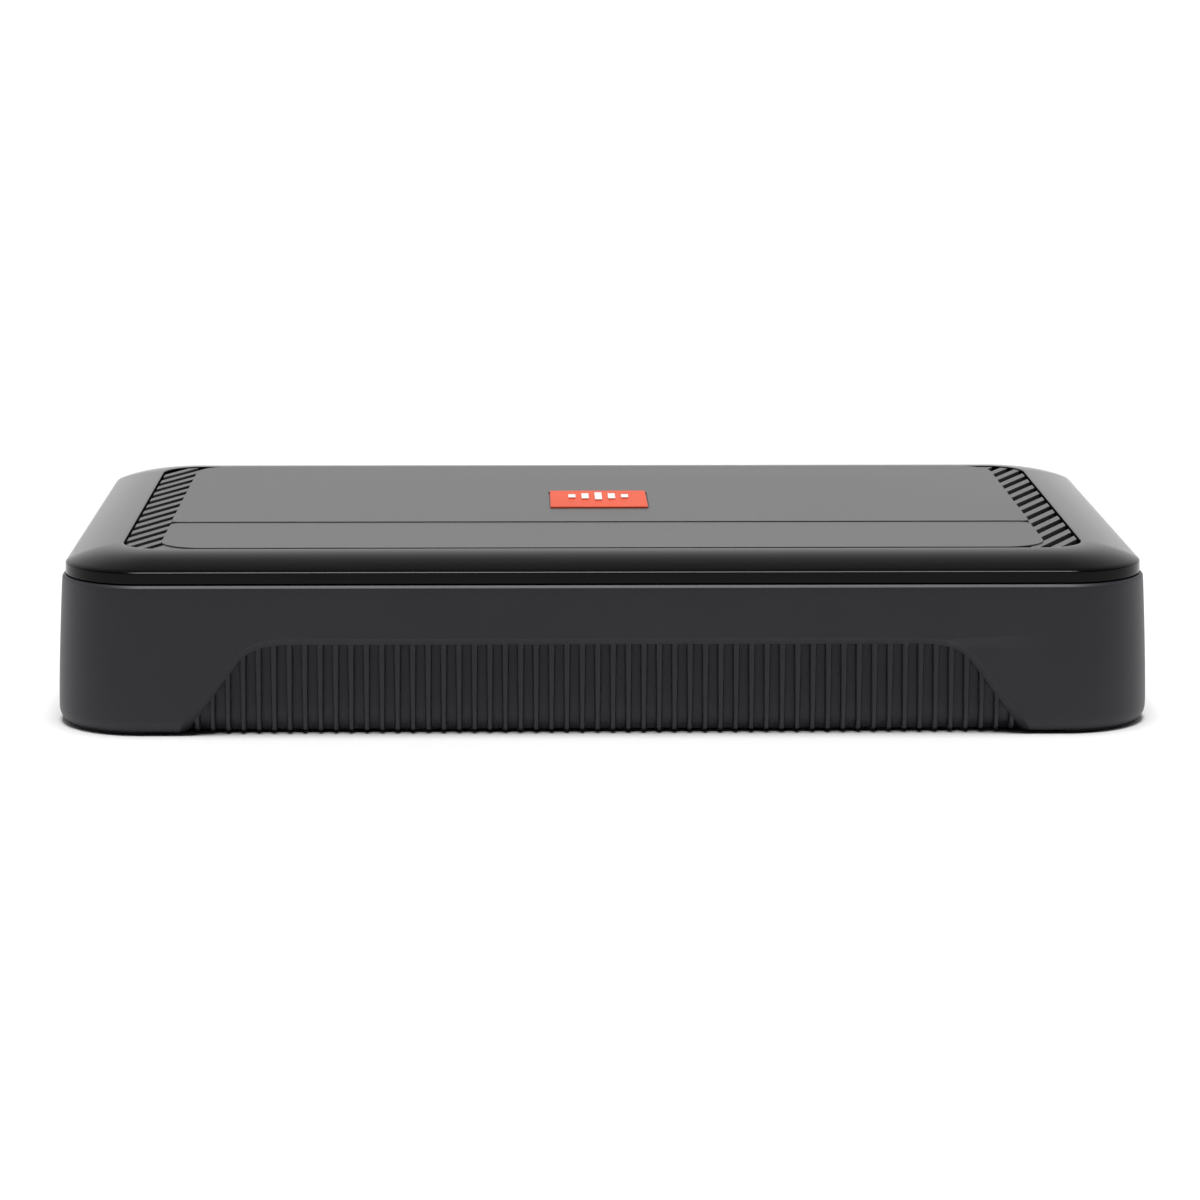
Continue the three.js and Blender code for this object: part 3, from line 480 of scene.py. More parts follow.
# ---------------------------------------------------------------- camera, light, floor
def make_camera():
    """The photograph's view: a long lens a little above the front long side."""
    pitch, yaw, roll = (math.radians(a) for a in (10.655, 1.209, 0.106))
    flat = math.cos(pitch)
    forward = Vector((math.sin(yaw) * flat, math.cos(yaw) * flat, -math.sin(pitch)))
    right = Vector((math.cos(yaw), -math.sin(yaw), 0))
    up = right.cross(forward)
    right, up = (
        math.cos(roll) * right + math.sin(roll) * up,
        math.cos(roll) * up - math.sin(roll) * right,
    )
    data = bpy.data.cameras.new("camera")
    data.sensor_width = 36.0
    data.lens = 118.08
    data.clip_start = 0.05
    data.clip_end = 50
    camera = link("camera", data)
    turn = Matrix((right, up, -forward)).transposed()
    camera.matrix_world = Matrix.Translation(Vector((-26.75, -1289.3, 265.0)) * MM) @ turn.to_4x4()
    bpy.context.scene.camera = camera


def curve_of(nodes, links, value, stops, low, high):
    """A grey level that follows a value through a list of (value, level) stops."""
    fit = nodes.new("ShaderNodeMapRange")
    fit.inputs["From Min"].default_value = low
    fit.inputs["From Max"].default_value = high
    links.new(value, fit.inputs["Value"])
    tone = nodes.new("ShaderNodeValToRGB")
    elements = tone.color_ramp.elements
    while len(elements) < len(stops):
        elements.new(0.5)
    for element, (place, grey) in zip(elements, stops):
        element.position = (place - low) / (high - low)
        element.color = (grey, grey, grey, 1)
    links.new(fit.outputs["Result"], tone.inputs["Fac"])
    return tone.outputs["Color"]


def make_world():
    """A pale studio: bright behind the object, dim on the camera's side and overhead."""
    world = bpy.data.worlds.new("studio")
    bpy.context.scene.world = world
    world.use_nodes = True
    nodes, links = world.node_tree.nodes, world.node_tree.links
    coordinates = nodes.new("ShaderNodeTexCoord")
    split = nodes.new("ShaderNodeSeparateXYZ")
    links.new(coordinates.outputs["Generated"], split.inputs["Vector"])
    depth = curve_of(
        nodes, links, split.outputs["Y"], [(-0.5, 0.02), (0.0, 0.25), (0.35, 0.9), (0.8, 1.0)], -1, 1)
    height = curve_of(
        nodes, links, split.outputs["Z"], [(0.0, 1.0), (0.3, 0.95), (0.6, 0.45), (0.8, 0.25)], -1, 1)
    both = nodes.new("ShaderNodeMix")
    both.data_type = "RGBA"
    both.blend_type = "MULTIPLY"
    both.inputs["Factor"].default_value = 1.0
    links.new(depth, both.inputs["A"])
    links.new(height, both.inputs["B"])
    links.new(both.outputs["Result"], nodes["Background"].inputs["Color"])
    nodes["Background"].inputs["Strength"].default_value = 1.0


def make_sun():
    """One wide soft light overhead."""
    data = bpy.data.lights.new("overhead", "SUN")
    data.energy = 3.4
    data.angle = math.radians(28)
    light = link("overhead", data)
    light.rotation_euler = (math.radians(3), 0, 0)


def make_stage():
    shells = Shells().box(-6000, 6000, -4000, 9000, -30, 0)
    floor = mesh_object("floor", shells)
    material, nodes, links, shader = new_material("pale_floor")
    clouds = noise(nodes, links, 0.8, 3.0)
    tone = ramp(nodes, links, clouds, (0.91, 0.91, 0.91), (0.94, 0.94, 0.94))
    links.new(tone, shader.inputs["Base Color"])
    shader.inputs["Roughness"].default_value = 0.6
    shader.inputs["Specular IOR Level"].default_value = 0.2
    floor.data.materials.append(material)


make_camera()
make_world()
make_stage()
make_sun()
scene = bpy.context.scene
scene.view_settings.view_transform = "Standard"


# ---------------------------------------------------------------- case
def window_edge():
    """The ribbed window's outline as (x, z), from lower left over the top to lower right."""
    left = [(-lerp(132.4, 112.6, k / 6), lerp(-4.0, 22.8, k / 6)) for k in range(7)]
    for k in range(1, 9):
        t = k / 8
        x = (1 - t) ** 2 * -112.6 + 2 * t * (1 - t) * -108.0 + t * t * -97.6
        z = (1 - t) ** 2 * 22.8 + 2 * t * (1 - t) * 28.0 + t * t * 28.0
        left.append((x, z))
    return left + [(-x, z) for x, z in reversed(left)]


def offset_outline(points, distance):
    """Moves an open outline outwards, to its left-hand side as it is walked."""
    moved = []
    for i, (x, z) in enumerate(points):
        x0, z0 = points[max(0, i - 1)]
        x1, z1 = points[min(len(points) - 1, i + 1)]
        length = math.hypot(x1 - x0, z1 - z0)
        moved.append((x - (z1 - z0) / length * distance, z + (x1 - x0) / length * distance))
    return moved


def window_cutter(side):
    """What the ribbed window takes out of a long wall: floor, steep sides, 45 degree lip."""
    rows = [(VALLEY_SETBACK, -0.25), (RIB_SETBACK, 0.0), (0.45, 1.65), (0.12, 2.15), (-1.0, 3.0)]
    outline = window_edge()
    shells = Shells()
    points = []
    for depth, grow in rows:
        for x, z in offset_outline(outline, grow):
            points.append((x, side * (HALF_D - wall_inset(max(z, 0.0)) - depth), z))
    n = len(outline)
    faces = []
    for k in range(len(rows) - 1):
        for i in range(n - 1):
            a, b = k * n + i, (k + 1) * n + i
            faces.append([a, a + 1, b + 1, b])
        faces.append([k * n + n - 1, k * n, (k + 1) * n, (k + 1) * n + n - 1])
    for start in (0, (len(rows) - 1) * n):
        for i in range(n // 2 - 1):
            faces.append([start + i, start + i + 1, start + n - 2 - i, start + n - 1 - i])
    return shells.add(points, faces)


def rib(x, side):
    """One tapered rib with softened front corners, rooted in the valley wall."""
    loops = []
    heights = [(0.95, 0.0), (1.05, 0.55), (1.5, 0.9), (2.4, 1.0)]
    heights += [(z, 1.0) for z in (5, 9, 13, 17, 21, 25, 29.6)]
    for z, swell in heights:
        front = lerp(1.15, 1.72, z / 29.6) / 2 * lerp(0.75, 1.0, swell)
        root = front + 0.42
        soft = 0.26
        face = RIB_SETBACK + 0.5 * (1 - swell)
        back = VALLEY_SETBACK + 0.7
        section = [
            (-root, back), (-front - 0.06, face + soft), (-front + 0.08, face + 0.07),
            (-front + soft, face), (front - soft, face), (front - 0.08, face + 0.07),
            (front + 0.06, face + soft), (root, back),
        ]
        wall = HALF_D - wall_inset(z)
        loops.append([(x + dx, side * (wall - depth), z) for dx, depth in section])
    return loops


def end_window_cutter(side):
    """The opening in an end wall, with a soft outer edge."""
    loops = []
    for depth, grow in ((9.2, 0.0), (1.3, 0.0), (0.5, 0.35), (0.1, 1.1), (-3.0, 2.4)):
        outline = rounded_outline(72 + grow, 16 + grow, 4 + grow, 6)
        loop = []
        for y, dz in outline:
            z = 22 + dz
            x = HALF_L - 9.0 if depth > 9 else HALF_L - wall_inset(max(z, 0)) - depth
            loop.append((side * x, y, z))
        loops.append(loop)
    return Shells().loft(loops)


CLAMP_SCREWS = (
    "battery_clamp_screw", "remote_clamp_screw", "ground_clamp_screw",
    "speaker_positive_clamp_screw", "speaker_negative_clamp_screw",
)


def make_case():
    loops = [level(DECK_TOP, HALF_L - 5.9, HALF_D - 5.9, 20, 20)]
    loops.append(level(CASE_TOP - 0.35, HALF_L - 5.9, HALF_D - 5.9, 20, 20))
    loops.append(level(CASE_TOP, HALF_L - 5.55, HALF_D - 5.55, 20.35, 20))
    for t in (0.0, 0.06, 0.14, 0.86, 0.94, 1.0):
        soft = 0.05 * max(0.0, 1 - min(t, 1 - t) / 0.14)
        inset = TOP_INSET + RIM_CHAMFER * (1 - t) + soft
        z = CASE_TOP - RIM_CHAMFER * t - soft
        loops.append(level(z, HALF_L - inset, HALF_D - inset, CORNER_R - inset, 20))
    for z in (44, 41, 37, 32, 27, 22, 17, 13, 9.5, 7, 5, 3.8, 2.8, 2.0, 1.4, 1.1):
        loops.append(case_level(z))
    loops.append(case_level(CASE_BOTTOM, 0.25))
    loops.append(level(CASE_BOTTOM, 162.4, 99.0, 14, 20))
    loops.append(level(CASE_BOTTOM + 0.4, 162, 98.6, 14, 20))
    loops.append(level(DECK_UNDER, 162, 98.6, 14, 20))
    case = mesh_object("case_shell", Shells().loft(loops))
    cutters = [window_cutter(-1), window_cutter(1), end_window_cutter(-1), end_window_cutter(1)]
    for sx, sy in CORNERS:
        cutters.append(rod(MOUNT_R, 30, 48, 32, at(sx * MOUNT_X, sy * MOUNT_Y, 0)))
    for node in CLAMP_SCREWS:
        low, high = span(node)
        x, y = (low.x + high.x) / 2, (low.y + high.y) / 2
        r = POWER_DRIVER_R if high.x - low.x > 6 else SPEAKER_DRIVER_R
        cutters.append(rod(r, 30, 48, 32, at(x, y, 0)))
    cut(case, [mesh_object("case_cutter", c) for c in cutters])
    return case


case = make_case()
smooth(case, 32)
dress(case, "case", "cast_black", ["chassis"])

ribs = Shells()
for side in (-1, 1):
    for i in range(RIB_COUNT):
        ribs.loft(rib((i - (RIB_COUNT - 1) / 2) * RIB_PITCH, side))
piece("case_ribs", ribs, "case", "cast_black", angle=50)

bosses = Shells()
boss_profile = [(MOUNT_R, 3.4), (7, 3.4), (7, 40.4), (MOUNT_R, 40.4)]
for sx, sy in CORNERS:
    bosses.loft(ring_loops(boss_profile, 32, sx * MOUNT_X, sy * MOUNT_Y), ring=True)
piece("mounting_bosses", bosses, "case", "cast_black")


# ---------------------------------------------------------------- feet
def make_foot(name, sx, sy):
    """A corner pad, flush with the case wall; the left ones are the right ones mirrored."""
    high = span(name)[1]
    inner_x, inner_y = 144.0, 78.0
    loops = []
    for z, extra in ((0.0, 0.35), (0.12, 0.12), (0.3, 0.02), (0.72, 0.0), (0.86, 0.1)):
        inset = wall_inset(z) + extra
        hx, hy, r = HALF_L - inset, HALF_D - inset, CORNER_R - inset
        outline = [(inner_x + extra, hy)]
        for k in range(13):
            a = math.radians(90 - 90 * k / 12)
            outline.append((hx - r + r * math.cos(a), hy - r + r * math.sin(a)))
        outline += [(hx, inner_y + extra), (inner_x + extra, inner_y + extra)]
        loops.append([(x, sy * y, z) for x, y in outline])
    plug = Shells().box(148, 157.4, *mirrored(sy, 83, 93.4), 0.5, high.z)
    hole = rod(FOOT_HOLE_R, -2, 6, 32, at(MOUNT_X, sy * MOUNT_Y, 0))
    for part, shells, nodes in (("_pad", Shells().loft(loops), [name]), ("_plug", plug, [])):
        foot = mesh_object(name + part, shells)
        cut(foot, [mesh_object("foot_hole", hole)])
        if sx < 0:
            for vertex in foot.data.vertices:
                vertex.co.x *= -1
            foot.data.flip_normals()
        smooth(foot, 40)
        dress(foot, "case", "foot_rubber", nodes)


for side, sy in SIDES:
    for end, sx in (("left", -1), ("right", 1)):
        make_foot(f"foot_{side}_{end}", sx, sy)


# ---------------------------------------------------------------- top cover
def bezel_ring(t):
    """The bevel of the bezel from its lip (t = 0) to its opening (t = 1)."""
    z = LIP_Z + (BEZEL_TOP - LIP_Z) * (1 - (1 - t) ** 2)
    return level(z, *(lerp(lip, opening, t) for lip, opening in zip(LIP, OPENING)), 24)


def make_bezel():
    hx, hy, r = LIP
    loops = [
        level(BAND_BOTTOM, hx - 2.0, hy - 2.0, r - 2.0, 24),
        level(BAND_BOTTOM, hx - 0.15, hy - 0.15, r - 0.15, 24),
        level(BAND_BOTTOM + 0.08, hx + 0.08, hy + 0.08, r + 0.08, 24),
        level(BAND_BOTTOM + 0.3, hx + 0.17, hy + 0.17, r + 0.17, 24),
        level(LIP_Z - 0.42, hx + 0.06, hy + 0.06, r + 0.06, 24),
        level(LIP_Z - 0.26, hx - 0.02, hy - 0.02, r - 0.02, 24),
        level(LIP_Z - 0.1, hx - 0.18, hy - 0.18, r - 0.18, 24),
        level(LIP_Z + 0.05, hx - 0.38, hy - 0.38, r - 0.38, 24),
    ]
    loops += [bezel_ring(t) for t in (0.05, 0.09, 0.15, 0.22, 0.3, 0.4, 0.5, 0.6, 0.7, 0.8, 0.9, 0.96)]
    ox, oy, o_r = OPENING
    loops += [
        level(BEZEL_TOP - 0.02, ox + 0.3, oy + 0.3, o_r + 0.3, 24),
        level(BEZEL_TOP - 0.12, ox + 0.08, oy + 0.08, o_r + 0.08, 24),
        level(BEZEL_TOP - 0.35, ox, oy, o_r, 24),
        level(51.9, ox, oy, o_r, 24),
        level(51.9, ox + 4, oy + 4, o_r + 3, 24),
        level(LIP_Z - 1.6, hx - 2.0, hy - 2.0, r - 2.0, 24),
    ]
    shells = Shells().loft(loops, ring=True)
    piece("bezel_shell", shells, "top_cover", "gloss_black", ["cover_bezel"], angle=45)


def make_tray():
    """The tray under the plates: open under each grille, with a raised seat for the plates."""
    low, high = span("cover_tray")
    shells = Shells().prism(rounded_outline(high.x, high.y, 20, 12), low.z, high.z)
    shafts = [Shells().box(*mirrored(s, 139.8, 149), -74, 74, 45, 55) for s in (-1, 1)]
    piece(
        "tray_panel", shells, "top_cover", "connector_black", ["cover_tray"], edge=0.3, cutters=shafts)
    seat = Shells().prism(rounded_outline(126, 74, 6, 8), high.z, plate_low.z - 0.2)
    piece("tray_seat", seat, "top_cover", "connector_black", edge=0.4)


def corner_arc(cx, cy, r, start, sweep, steps):
    for k in range(steps + 1):
        a = math.radians(start + sweep * k / steps)
        yield (cx + r * math.cos(a), cy + r * math.sin(a))


def plate_outline(y0, y1, r_front, r_rear, inset=0.0):
    """A panel outline with its own corner radii at the front and at the rear."""
    hx, y0, y1 = PLATE_HALF_L - inset, y0 + inset, y1 - inset
    r_front, r_rear = r_front - inset, r_rear - inset
    points = []
    points += corner_arc(hx - r_front, y0 + r_front, r_front, -90, 90, 16)
    points += corner_arc(hx - r_rear, y1 - r_rear, r_rear, 0, 90, 16)
    points += corner_arc(-hx + r_rear, y1 - r_rear, r_rear, 90, 90, 16)
    points += corner_arc(-hx + r_front, y0 + r_front, r_front, 180, 90, 16)
    return points


make_bezel()
make_tray()

strip_low, strip_high = span("front_strip")
badge_low, badge_high = span("badge_plate")


def panel_shells(low, high, top, r_front, r_rear):
    """A panel with a small quarter-round along its upper edge."""
    rows = [(low.z, 0.12), (low.z + 0.12, 0.0), (top - 0.16, 0.0), (top - 0.08, 0.02)]
    rows += [(top - 0.02, 0.08), (top, 0.16)]
    return Shells().loft([
        [(x, y, z) for x, y in plate_outline(low.y, high.y, r_front, r_rear, inset)]
        for z, inset in rows
    ])


badge_seat = Shells().box(
    badge_low.x - 0.4, badge_high.x + 0.4, badge_low.y - 0.4, badge_high.y + 0.4, PLATE_TOP - 0.6, 60)
piece(
    "centre_plate_panel", panel_shells(plate_low, plate_high, PLATE_TOP, 1.6, PLATE_R),
    "top_cover", "grey_satin", ["centre_plate"], cutters=[badge_seat], angle=50)
piece(
    "front_strip_panel", panel_shells(strip_low, strip_high, PLATE_TOP - STRIP_DROP, PLATE_R, 3.5),
    "top_cover", "grey_satin", ["front_strip"], angle=50)


def make_grille(name, side):
    low, high = span(name)
    ox, oy, o_r = OPENING
    field = Shells().prism(rounded_outline(ox - 0.7, oy - 0.7, o_r - 0.7, 16), low.z, high.z)
    grille = mesh_object(name + "_bars", field)
    beyond = Shells().box(*mirrored(side, 124, -160), -100, 100, 40, 60)
    plate_edge = rounded_outline(PLATE_HALF_L + 0.12, PLATE_HALF_D + 0.3, PLATE_R + 0.3, 16)
    plate = Shells().prism(plate_edge, 52.1, 60)
    cutters = [beyond, plate]
    for i in range(SLOT_COUNT):
        y = (i - (SLOT_COUNT - 1) / 2) * SLOT_PITCH + SLOT_SHIFT
        turn = at(side * VENT_X, y - side * SLOT_SKEW, 52) @ Matrix.Rotation(SLOT_ANGLE, 4, "Z")
        cutters.append(Shells().box(-30, 30, -SLOT_WIDTH / 2, SLOT_WIDTH / 2, -10, 10, turn))
    core_edge = rounded_outline(PLATE_HALF_L + 0.12, PLATE_HALF_D - 1.6, 12, 16)
    cut(grille, [mesh_object("grille_cutter", c) for c in cutters])
    core = mesh_object("grille_core", Shells().prism(core_edge, low.z, 52.05))
    cut(core, [mesh_object("grille_cutter", beyond)])
    cut(grille, [core], "UNION")
    round_edges(grille, 0.15, 2, 40)
    smooth(grille, 40)
    dress(grille, "top_cover", "grey_satin", [name])


make_grille("vent_grille_left", -1)
make_grille("vent_grille_right", 1)

piece(
    "badge_tile", boxed(badge_low, badge_high), "top_cover", "badge_orange", ["badge_plate"],
    edge=0.4, segments=3)
emblem_low, emblem_high = span("badge_emblem")
emblem = Shells()
middle_y = ((emblem_low + emblem_high) / 2).y
for i, height in enumerate((6, 10, 14, 10, 6)):
    x = (i - 2) * BAR_PITCH
    y0, y1 = middle_y - height / 2, middle_y + height / 2
    emblem.box(x - 1.2, x + 1.2, y0, y1, badge_high.z - 0.05, emblem_high.z)
piece("badge_bars", emblem, "top_cover", "badge_white", ["badge_emblem"], edge=0.12)


# ---------------------------------------------------------------- base
def make_base():
    high = span("base_plate")[1]
    shells = Shells().prism(rounded_outline(high.x, high.y, 13, 12), 1.3, 2.8)
    sink = [(0, 1.0), (3.9, 1.0), (2.2, 2.85), (2.2, 4), (0, 4)]
    cutters = []
    for sx, sy in CORNERS:
        cutters.append(Shells().box(*mirrored(sx, 143, 175), *mirrored(sy, 77, 115), 0, 4))
        cutters.append(Shells().turned(sink, 32, at(sx * BASE_SCREW_X, sy * BASE_SCREW_Y, 0)))
    piece("base_sheet", shells, "case", "bare_steel", ["base_plate"], edge=0.2, cutters=cutters)
    beads = Shells()
    for y in (-50, 0, 50):
        start = len(beads.points)
        beads.loft([level(z, 118 - d, 6 - d, 5.9 - d, 10) for z, d in ((1.4, 0), (1.15, 0.25), (1.0, 0.9))])
        for point in beads.points[start:]:
            point.y += y
    piece("base_beads", beads, "case", "bare_steel")
    posts = Shells()
    post = [(0, 2.6), (3.2, 2.6), (3.2, 7.7), (2.9, 8.0), (0, 8.0)]
    for sx, sy in CORNERS:
        posts.turned(post, 6, at(sx * 130, sy * 60, 0))
    piece("base_standoffs", posts, "case", "nickel_plate", angle=30)
    for side, sy in SIDES:
        for end, sx in (("left", -1), ("right", 1)):
            make_base_screw(f"base_screw_{side}_{end}", at(sx * BASE_SCREW_X, sy * BASE_SCREW_Y, 0))


def make_base_screw(name, place):
    """A countersunk screw with a cross recess in its head."""
    profile = [(0, 1.38), (2.9, 1.38), (3.15, 1.5), (1.55, 3.0)]
    for k in range(16):
        z = 3.2 + 0.6 * k
        profile += [(1.5, z), (1.15, z + 0.3)]
    profile += [(0.3, 12.8), (0, 12.8)]
    cross = [Shells().box(-hx, hx, -hy, hy, 0.5, 2.1, place) for hx, hy in ((0.42, 1.9), (1.9, 0.42))]
    screw = Shells().turned(profile, 28, place)
    piece(name + "_head", screw, "case", "bare_steel", [name], cutters=cross, angle=30)


# ---------------------------------------------------------------- inside
def torus_winding(x, y, z0, z1, inner, outer, turns, wire):
    """A ring of wire turns laid side by side round a core."""
    shells = Shells()
    mid, half_w, half_h = (inner + outer) / 2, (outer - inner) / 2, (z1 - z0) / 2
    for k in range(turns):
        a = 2 * math.pi * k / turns
        loops = []
        for j in range(20):
            b = 2 * math.pi * j / 20
            px = mid + (half_w - wire) * math.copysign(abs(math.cos(b)) ** 0.7, math.cos(b))
            pz = (z0 + z1) / 2 + (half_h - wire) * math.copysign(abs(math.sin(b)) ** 0.7, math.sin(b))
            nx, nz = math.cos(b), math.sin(b)
            loop = []
            for i in range(8):
                c = 2 * math.pi * i / 8
                r = px + wire * math.cos(c) * nx
                zz = pz + wire * math.cos(c) * nz
                across = wire * math.sin(c)
                loop.append((
                    x + r * math.cos(a) - across * math.sin(a),
                    y + r * math.sin(a) + across * math.cos(a), zz))
            loops.append(loop)
        shells.loft(loops, ring=True)
    return shells


def make_inside():
    low, high = span("main_circuit_board")
    board = Shells().prism(rounded_outline(high.x, high.y, 2, 4), low.z, high.z)
    notches = [
        Shells().box(*mirrored(sx, 145.5, 170), *mirrored(sy, 81, 110), 5, 12)
        for sx, sy in CORNERS
    ]
    piece(
        "board_laminate", board, "case", "circuit_board", ["main_circuit_board"],
        edge=0.15, cutters=notches)
    random.seed(7)
    chips = Shells()
    for k in range(46):
        x, y = random.uniform(-125, 125), random.choice((-1, 1)) * random.uniform(52, 76)
        w, d, h = random.choice(((3.2, 1.6, 0.9), (2, 1.2, 0.6), (6, 4, 1.5), (4.5, 4.5, 1.2)))
        chips.box(x - w / 2, x + w / 2, y - d / 2, y + d / 2, high.z + 0.02, high.z + h)
    piece("board_components", chips, "case", "connector_black", edge=0.12)
    for node, turns, wire in (("toroid_transformer", 44, 0.8), ("output_inductor", 20, 0.85)):
        low, high = span(node)
        mid = (low + high) / 2
        outer = (high.x - low.x) / 2
        inner = 9.0 if outer > 20 else 5.0
        z0, z1 = low.z + 0.1, high.z - 0.1
        winding = torus_winding(mid.x, mid.y, z0, z1, inner, outer, turns, wire)
        piece(node + "_winding", winding, "case", "copper_wire", [node], angle=60)
        r0, r1, foot, top = inner + 1.8, outer - 1.8, z0 + 2, z1 - 2
        rings = ring_loops([(r0, foot), (r1, foot), (r1, top), (r0, top)], 48, mid.x, mid.y)
        piece(node + "_core", Shells().loft(rings, ring=True), "case", "connector_black")
    for node in ("capacitor_1", "capacitor_2"):
        low, high = span(node)
        mid, r = (low + high) / 2, (high.x - low.x) / 2
        z0, z1 = low.z, high.z
        can = [
            (0, z0), (r - 0.5, z0), (r, z0 + 0.5), (r, z0 + 2), (r - 0.5, z0 + 2.6), (r - 0.5, z0 + 2.9),
            (r, z0 + 3.5), (r, z1 - 0.7), (r - 0.25, z1 - 0.2), (r - 0.8, z1), (r - 1.3, z1),
            (r - 1.5, z1 - 0.25), (0, z1 - 0.25),
        ]
        sleeve = Shells().turned(can, 48, at(mid.x, mid.y, 0))
        piece(node + "_can", sleeve, "case", "capacitor_sleeve", [node])
        vent = Shells()
        for turn in (0, 60, 120):
            place = at(mid.x, mid.y, 0) @ Matrix.Rotation(math.radians(turn), 4, "Z")
            vent.box(-5, 5, -0.18, 0.18, z1 - 0.3, z1 - 0.12, place)
        piece(node + "_vent", vent, "case", "bare_steel")
    for side, sy in SIDES:
        name = "transistor_clamp_" + side
        bar = Shells().box(-60, 60, *mirrored(sy, 90.3, 91.6), 17, 27)
        piece(name + "_bar", bar, "case", "bare_steel", [name], edge=0.3)
        packs, screws = Shells(), Shells()
        for i in range(6):
            x = -50 + 20 * i
            packs.box(x - 5, x + 5, *mirrored(sy, 92.0, 96.6), 13, 29)
            packs.box(x - 5, x + 5, *mirrored(sy, 96.7, 98.0), 13, 29)
        piece(name + "_packs", packs, "case", "connector_black", edge=0.3)
        for i in range(5):
            place = at(-40 + 20 * i, sy * 90.3, 22) @ Matrix.Rotation(math.radians(90 * sy), 4, "X")
            screws.turned([(0, 0), (2.6, 0), (2.6, 1.2), (2.0, 1.8), (0, 2.0)], 24, place)
        piece(name + "_screws", screws, "case", "nickel_plate")


# ---------------------------------------------------------------- input end
KNOBS = ("gain_knob", "crossover_knob", "bass_boost_knob")
JACKS = (
    ("rca_jack_left", "white_plastic", "white_plastic"),
    ("rca_jack_right", "lamp_red", "red_insulator"),
)
LAMPS = (("power_lamp", "lamp_green"), ("protect_lamp", "lamp_red"))
SLIDERS = ("filter", "input_level")


def marks_round(place, radius, length, count, sweep, width=0.22, height=0.06):
    """Printed ticks round a dial."""
    shells = Shells()
    for k in range(count):
        turn = place @ Matrix.Rotation(math.radians(-sweep / 2 + sweep * k / (count - 1)), 4, "Z")
        reach = length * (1.6 if k in (0, count - 1) else 1.0)
        shells.box(-radius - reach, -radius, -width / 2, width / 2, -0.02, height, turn)
    return shells


def make_input_end():
    low, high = span("input_panel")
    face = low.x
    cutters = []
    round_holes = [(node, 5.2, 40) for node, _, _ in JACKS] + [(node, 4.1, 40) for node in KNOBS]
    round_holes += [(node, 1.9, 24) for node, _ in LAMPS]
    for node, r, sides in round_holes:
        c = centre(node)
        cutters.append(rod(r, -6, 6, sides, along_x(face, c.y, c.z, -1)))
    for label in SLIDERS:
        y = centre(label + "_slider").y
        cutters.append(Shells().box(-165, -155, y - 5, y + 5, 14, 20))
    for node in ("speaker_level_socket", "remote_bass_socket"):
        a, b = span(node)
        cutters.append(Shells().box(-166, -155, a.y - 0.3, b.y + 0.3, a.z - 0.3, b.z + 0.3))
    piece(
        "input_panel_sheet", boxed(low, high), "case", "panel_black", ["input_panel"],
        edge=0.25, cutters=cutters)

    marks = Shells()
    for node in KNOBS:
        c = centre(node)
        ticks = marks_round(along_x(face, c.y, c.z, -1), 5.0, 0.55, 11, 270)
        marks.add(ticks.points, ticks.faces)
    for label in SLIDERS:
        y = centre(label + "_slider").y
        for dy in (-2.5, 0, 2.5):
            marks.box(face - 0.06, face + 0.02, y + dy - 0.12, y + dy + 0.12, 20.9, 21.9)
    for node, _ in LAMPS:
        y = centre(node).y
        marks.box(face - 0.06, face + 0.02, y - 1.6, y + 1.6, 34.0, 34.3)
    for node, _, _ in JACKS:
        y = centre(node).y
        marks.box(face - 0.06, face + 0.02, y - 4.2, y + 4.2, 28.6, 28.9)
    piece("input_panel_marks", marks, "case", "badge_white")

    block_low, block_high = span("rca_jack_block")
    block = boxed(block_low, block_high)
    piece("rca_block_moulding", block, "case", "connector_black", ["rca_jack_block"], edge=0.6)
    for node, ring_slot, ring_finish in JACKS:
        make_jack(node, ring_slot, ring_finish)
    make_sockets()
    for node in KNOBS:
        make_knob(node)
    for label in SLIDERS:
        make_slider(label)
    for node, finish in LAMPS:
        c = centre(node)
        lens = [
            (0, 0), (1.5, 0), (1.5, 5.2), (1.42, 5.7), (1.2, 6.15), (0.85, 6.45), (0.45, 6.63), (0, 6.68),
        ]
        piece(node + "_lens", turned_x(lens, span(node)[1].x, c.y, c.z, -1, 32), "case", finish, [node])


def make_jack(node, ring_slot, ring_finish):
    """A phono jack: plated barrel, coloured insulator and centre contact."""
    c = centre(node)
    place = along_x(span(node)[1].x, c.y, c.z, -1)
    barrel = [
        (0, 0), (4.55, 0), (4.8, 0.25), (4.8, 2.0), (4.5, 2.4), (4.1, 2.5), (4.1, 9.2), (3.95, 9.5),
        (3.7, 9.6), (3.5, 9.55), (3.35, 9.3), (3.35, 3.4), (0, 3.4),
    ]
    piece(node + "_barrel", Shells().turned(barrel, 56, place), "case", "nickel_plate", [node])
    ring = [(2.2, 3.4), (3.3, 3.4), (3.3, 8.5), (3.1, 8.7), (2.4, 8.7), (2.2, 8.5)]
    insulator = Shells().loft(ring_loops(ring, 48), ring=True, turn=place)
    piece(node + "_insulator", insulator, "case", ring_slot, finish=ring_finish)
    sleeve = [(1.15, 3.4), (1.55, 3.4), (1.55, 6.6), (1.35, 6.9), (1.15, 6.6)]
    contact = Shells().loft(ring_loops(sleeve, 32), ring=True, turn=place)
    piece(node + "_contact", contact, "case", "nickel_plate", finish="gold_plate")


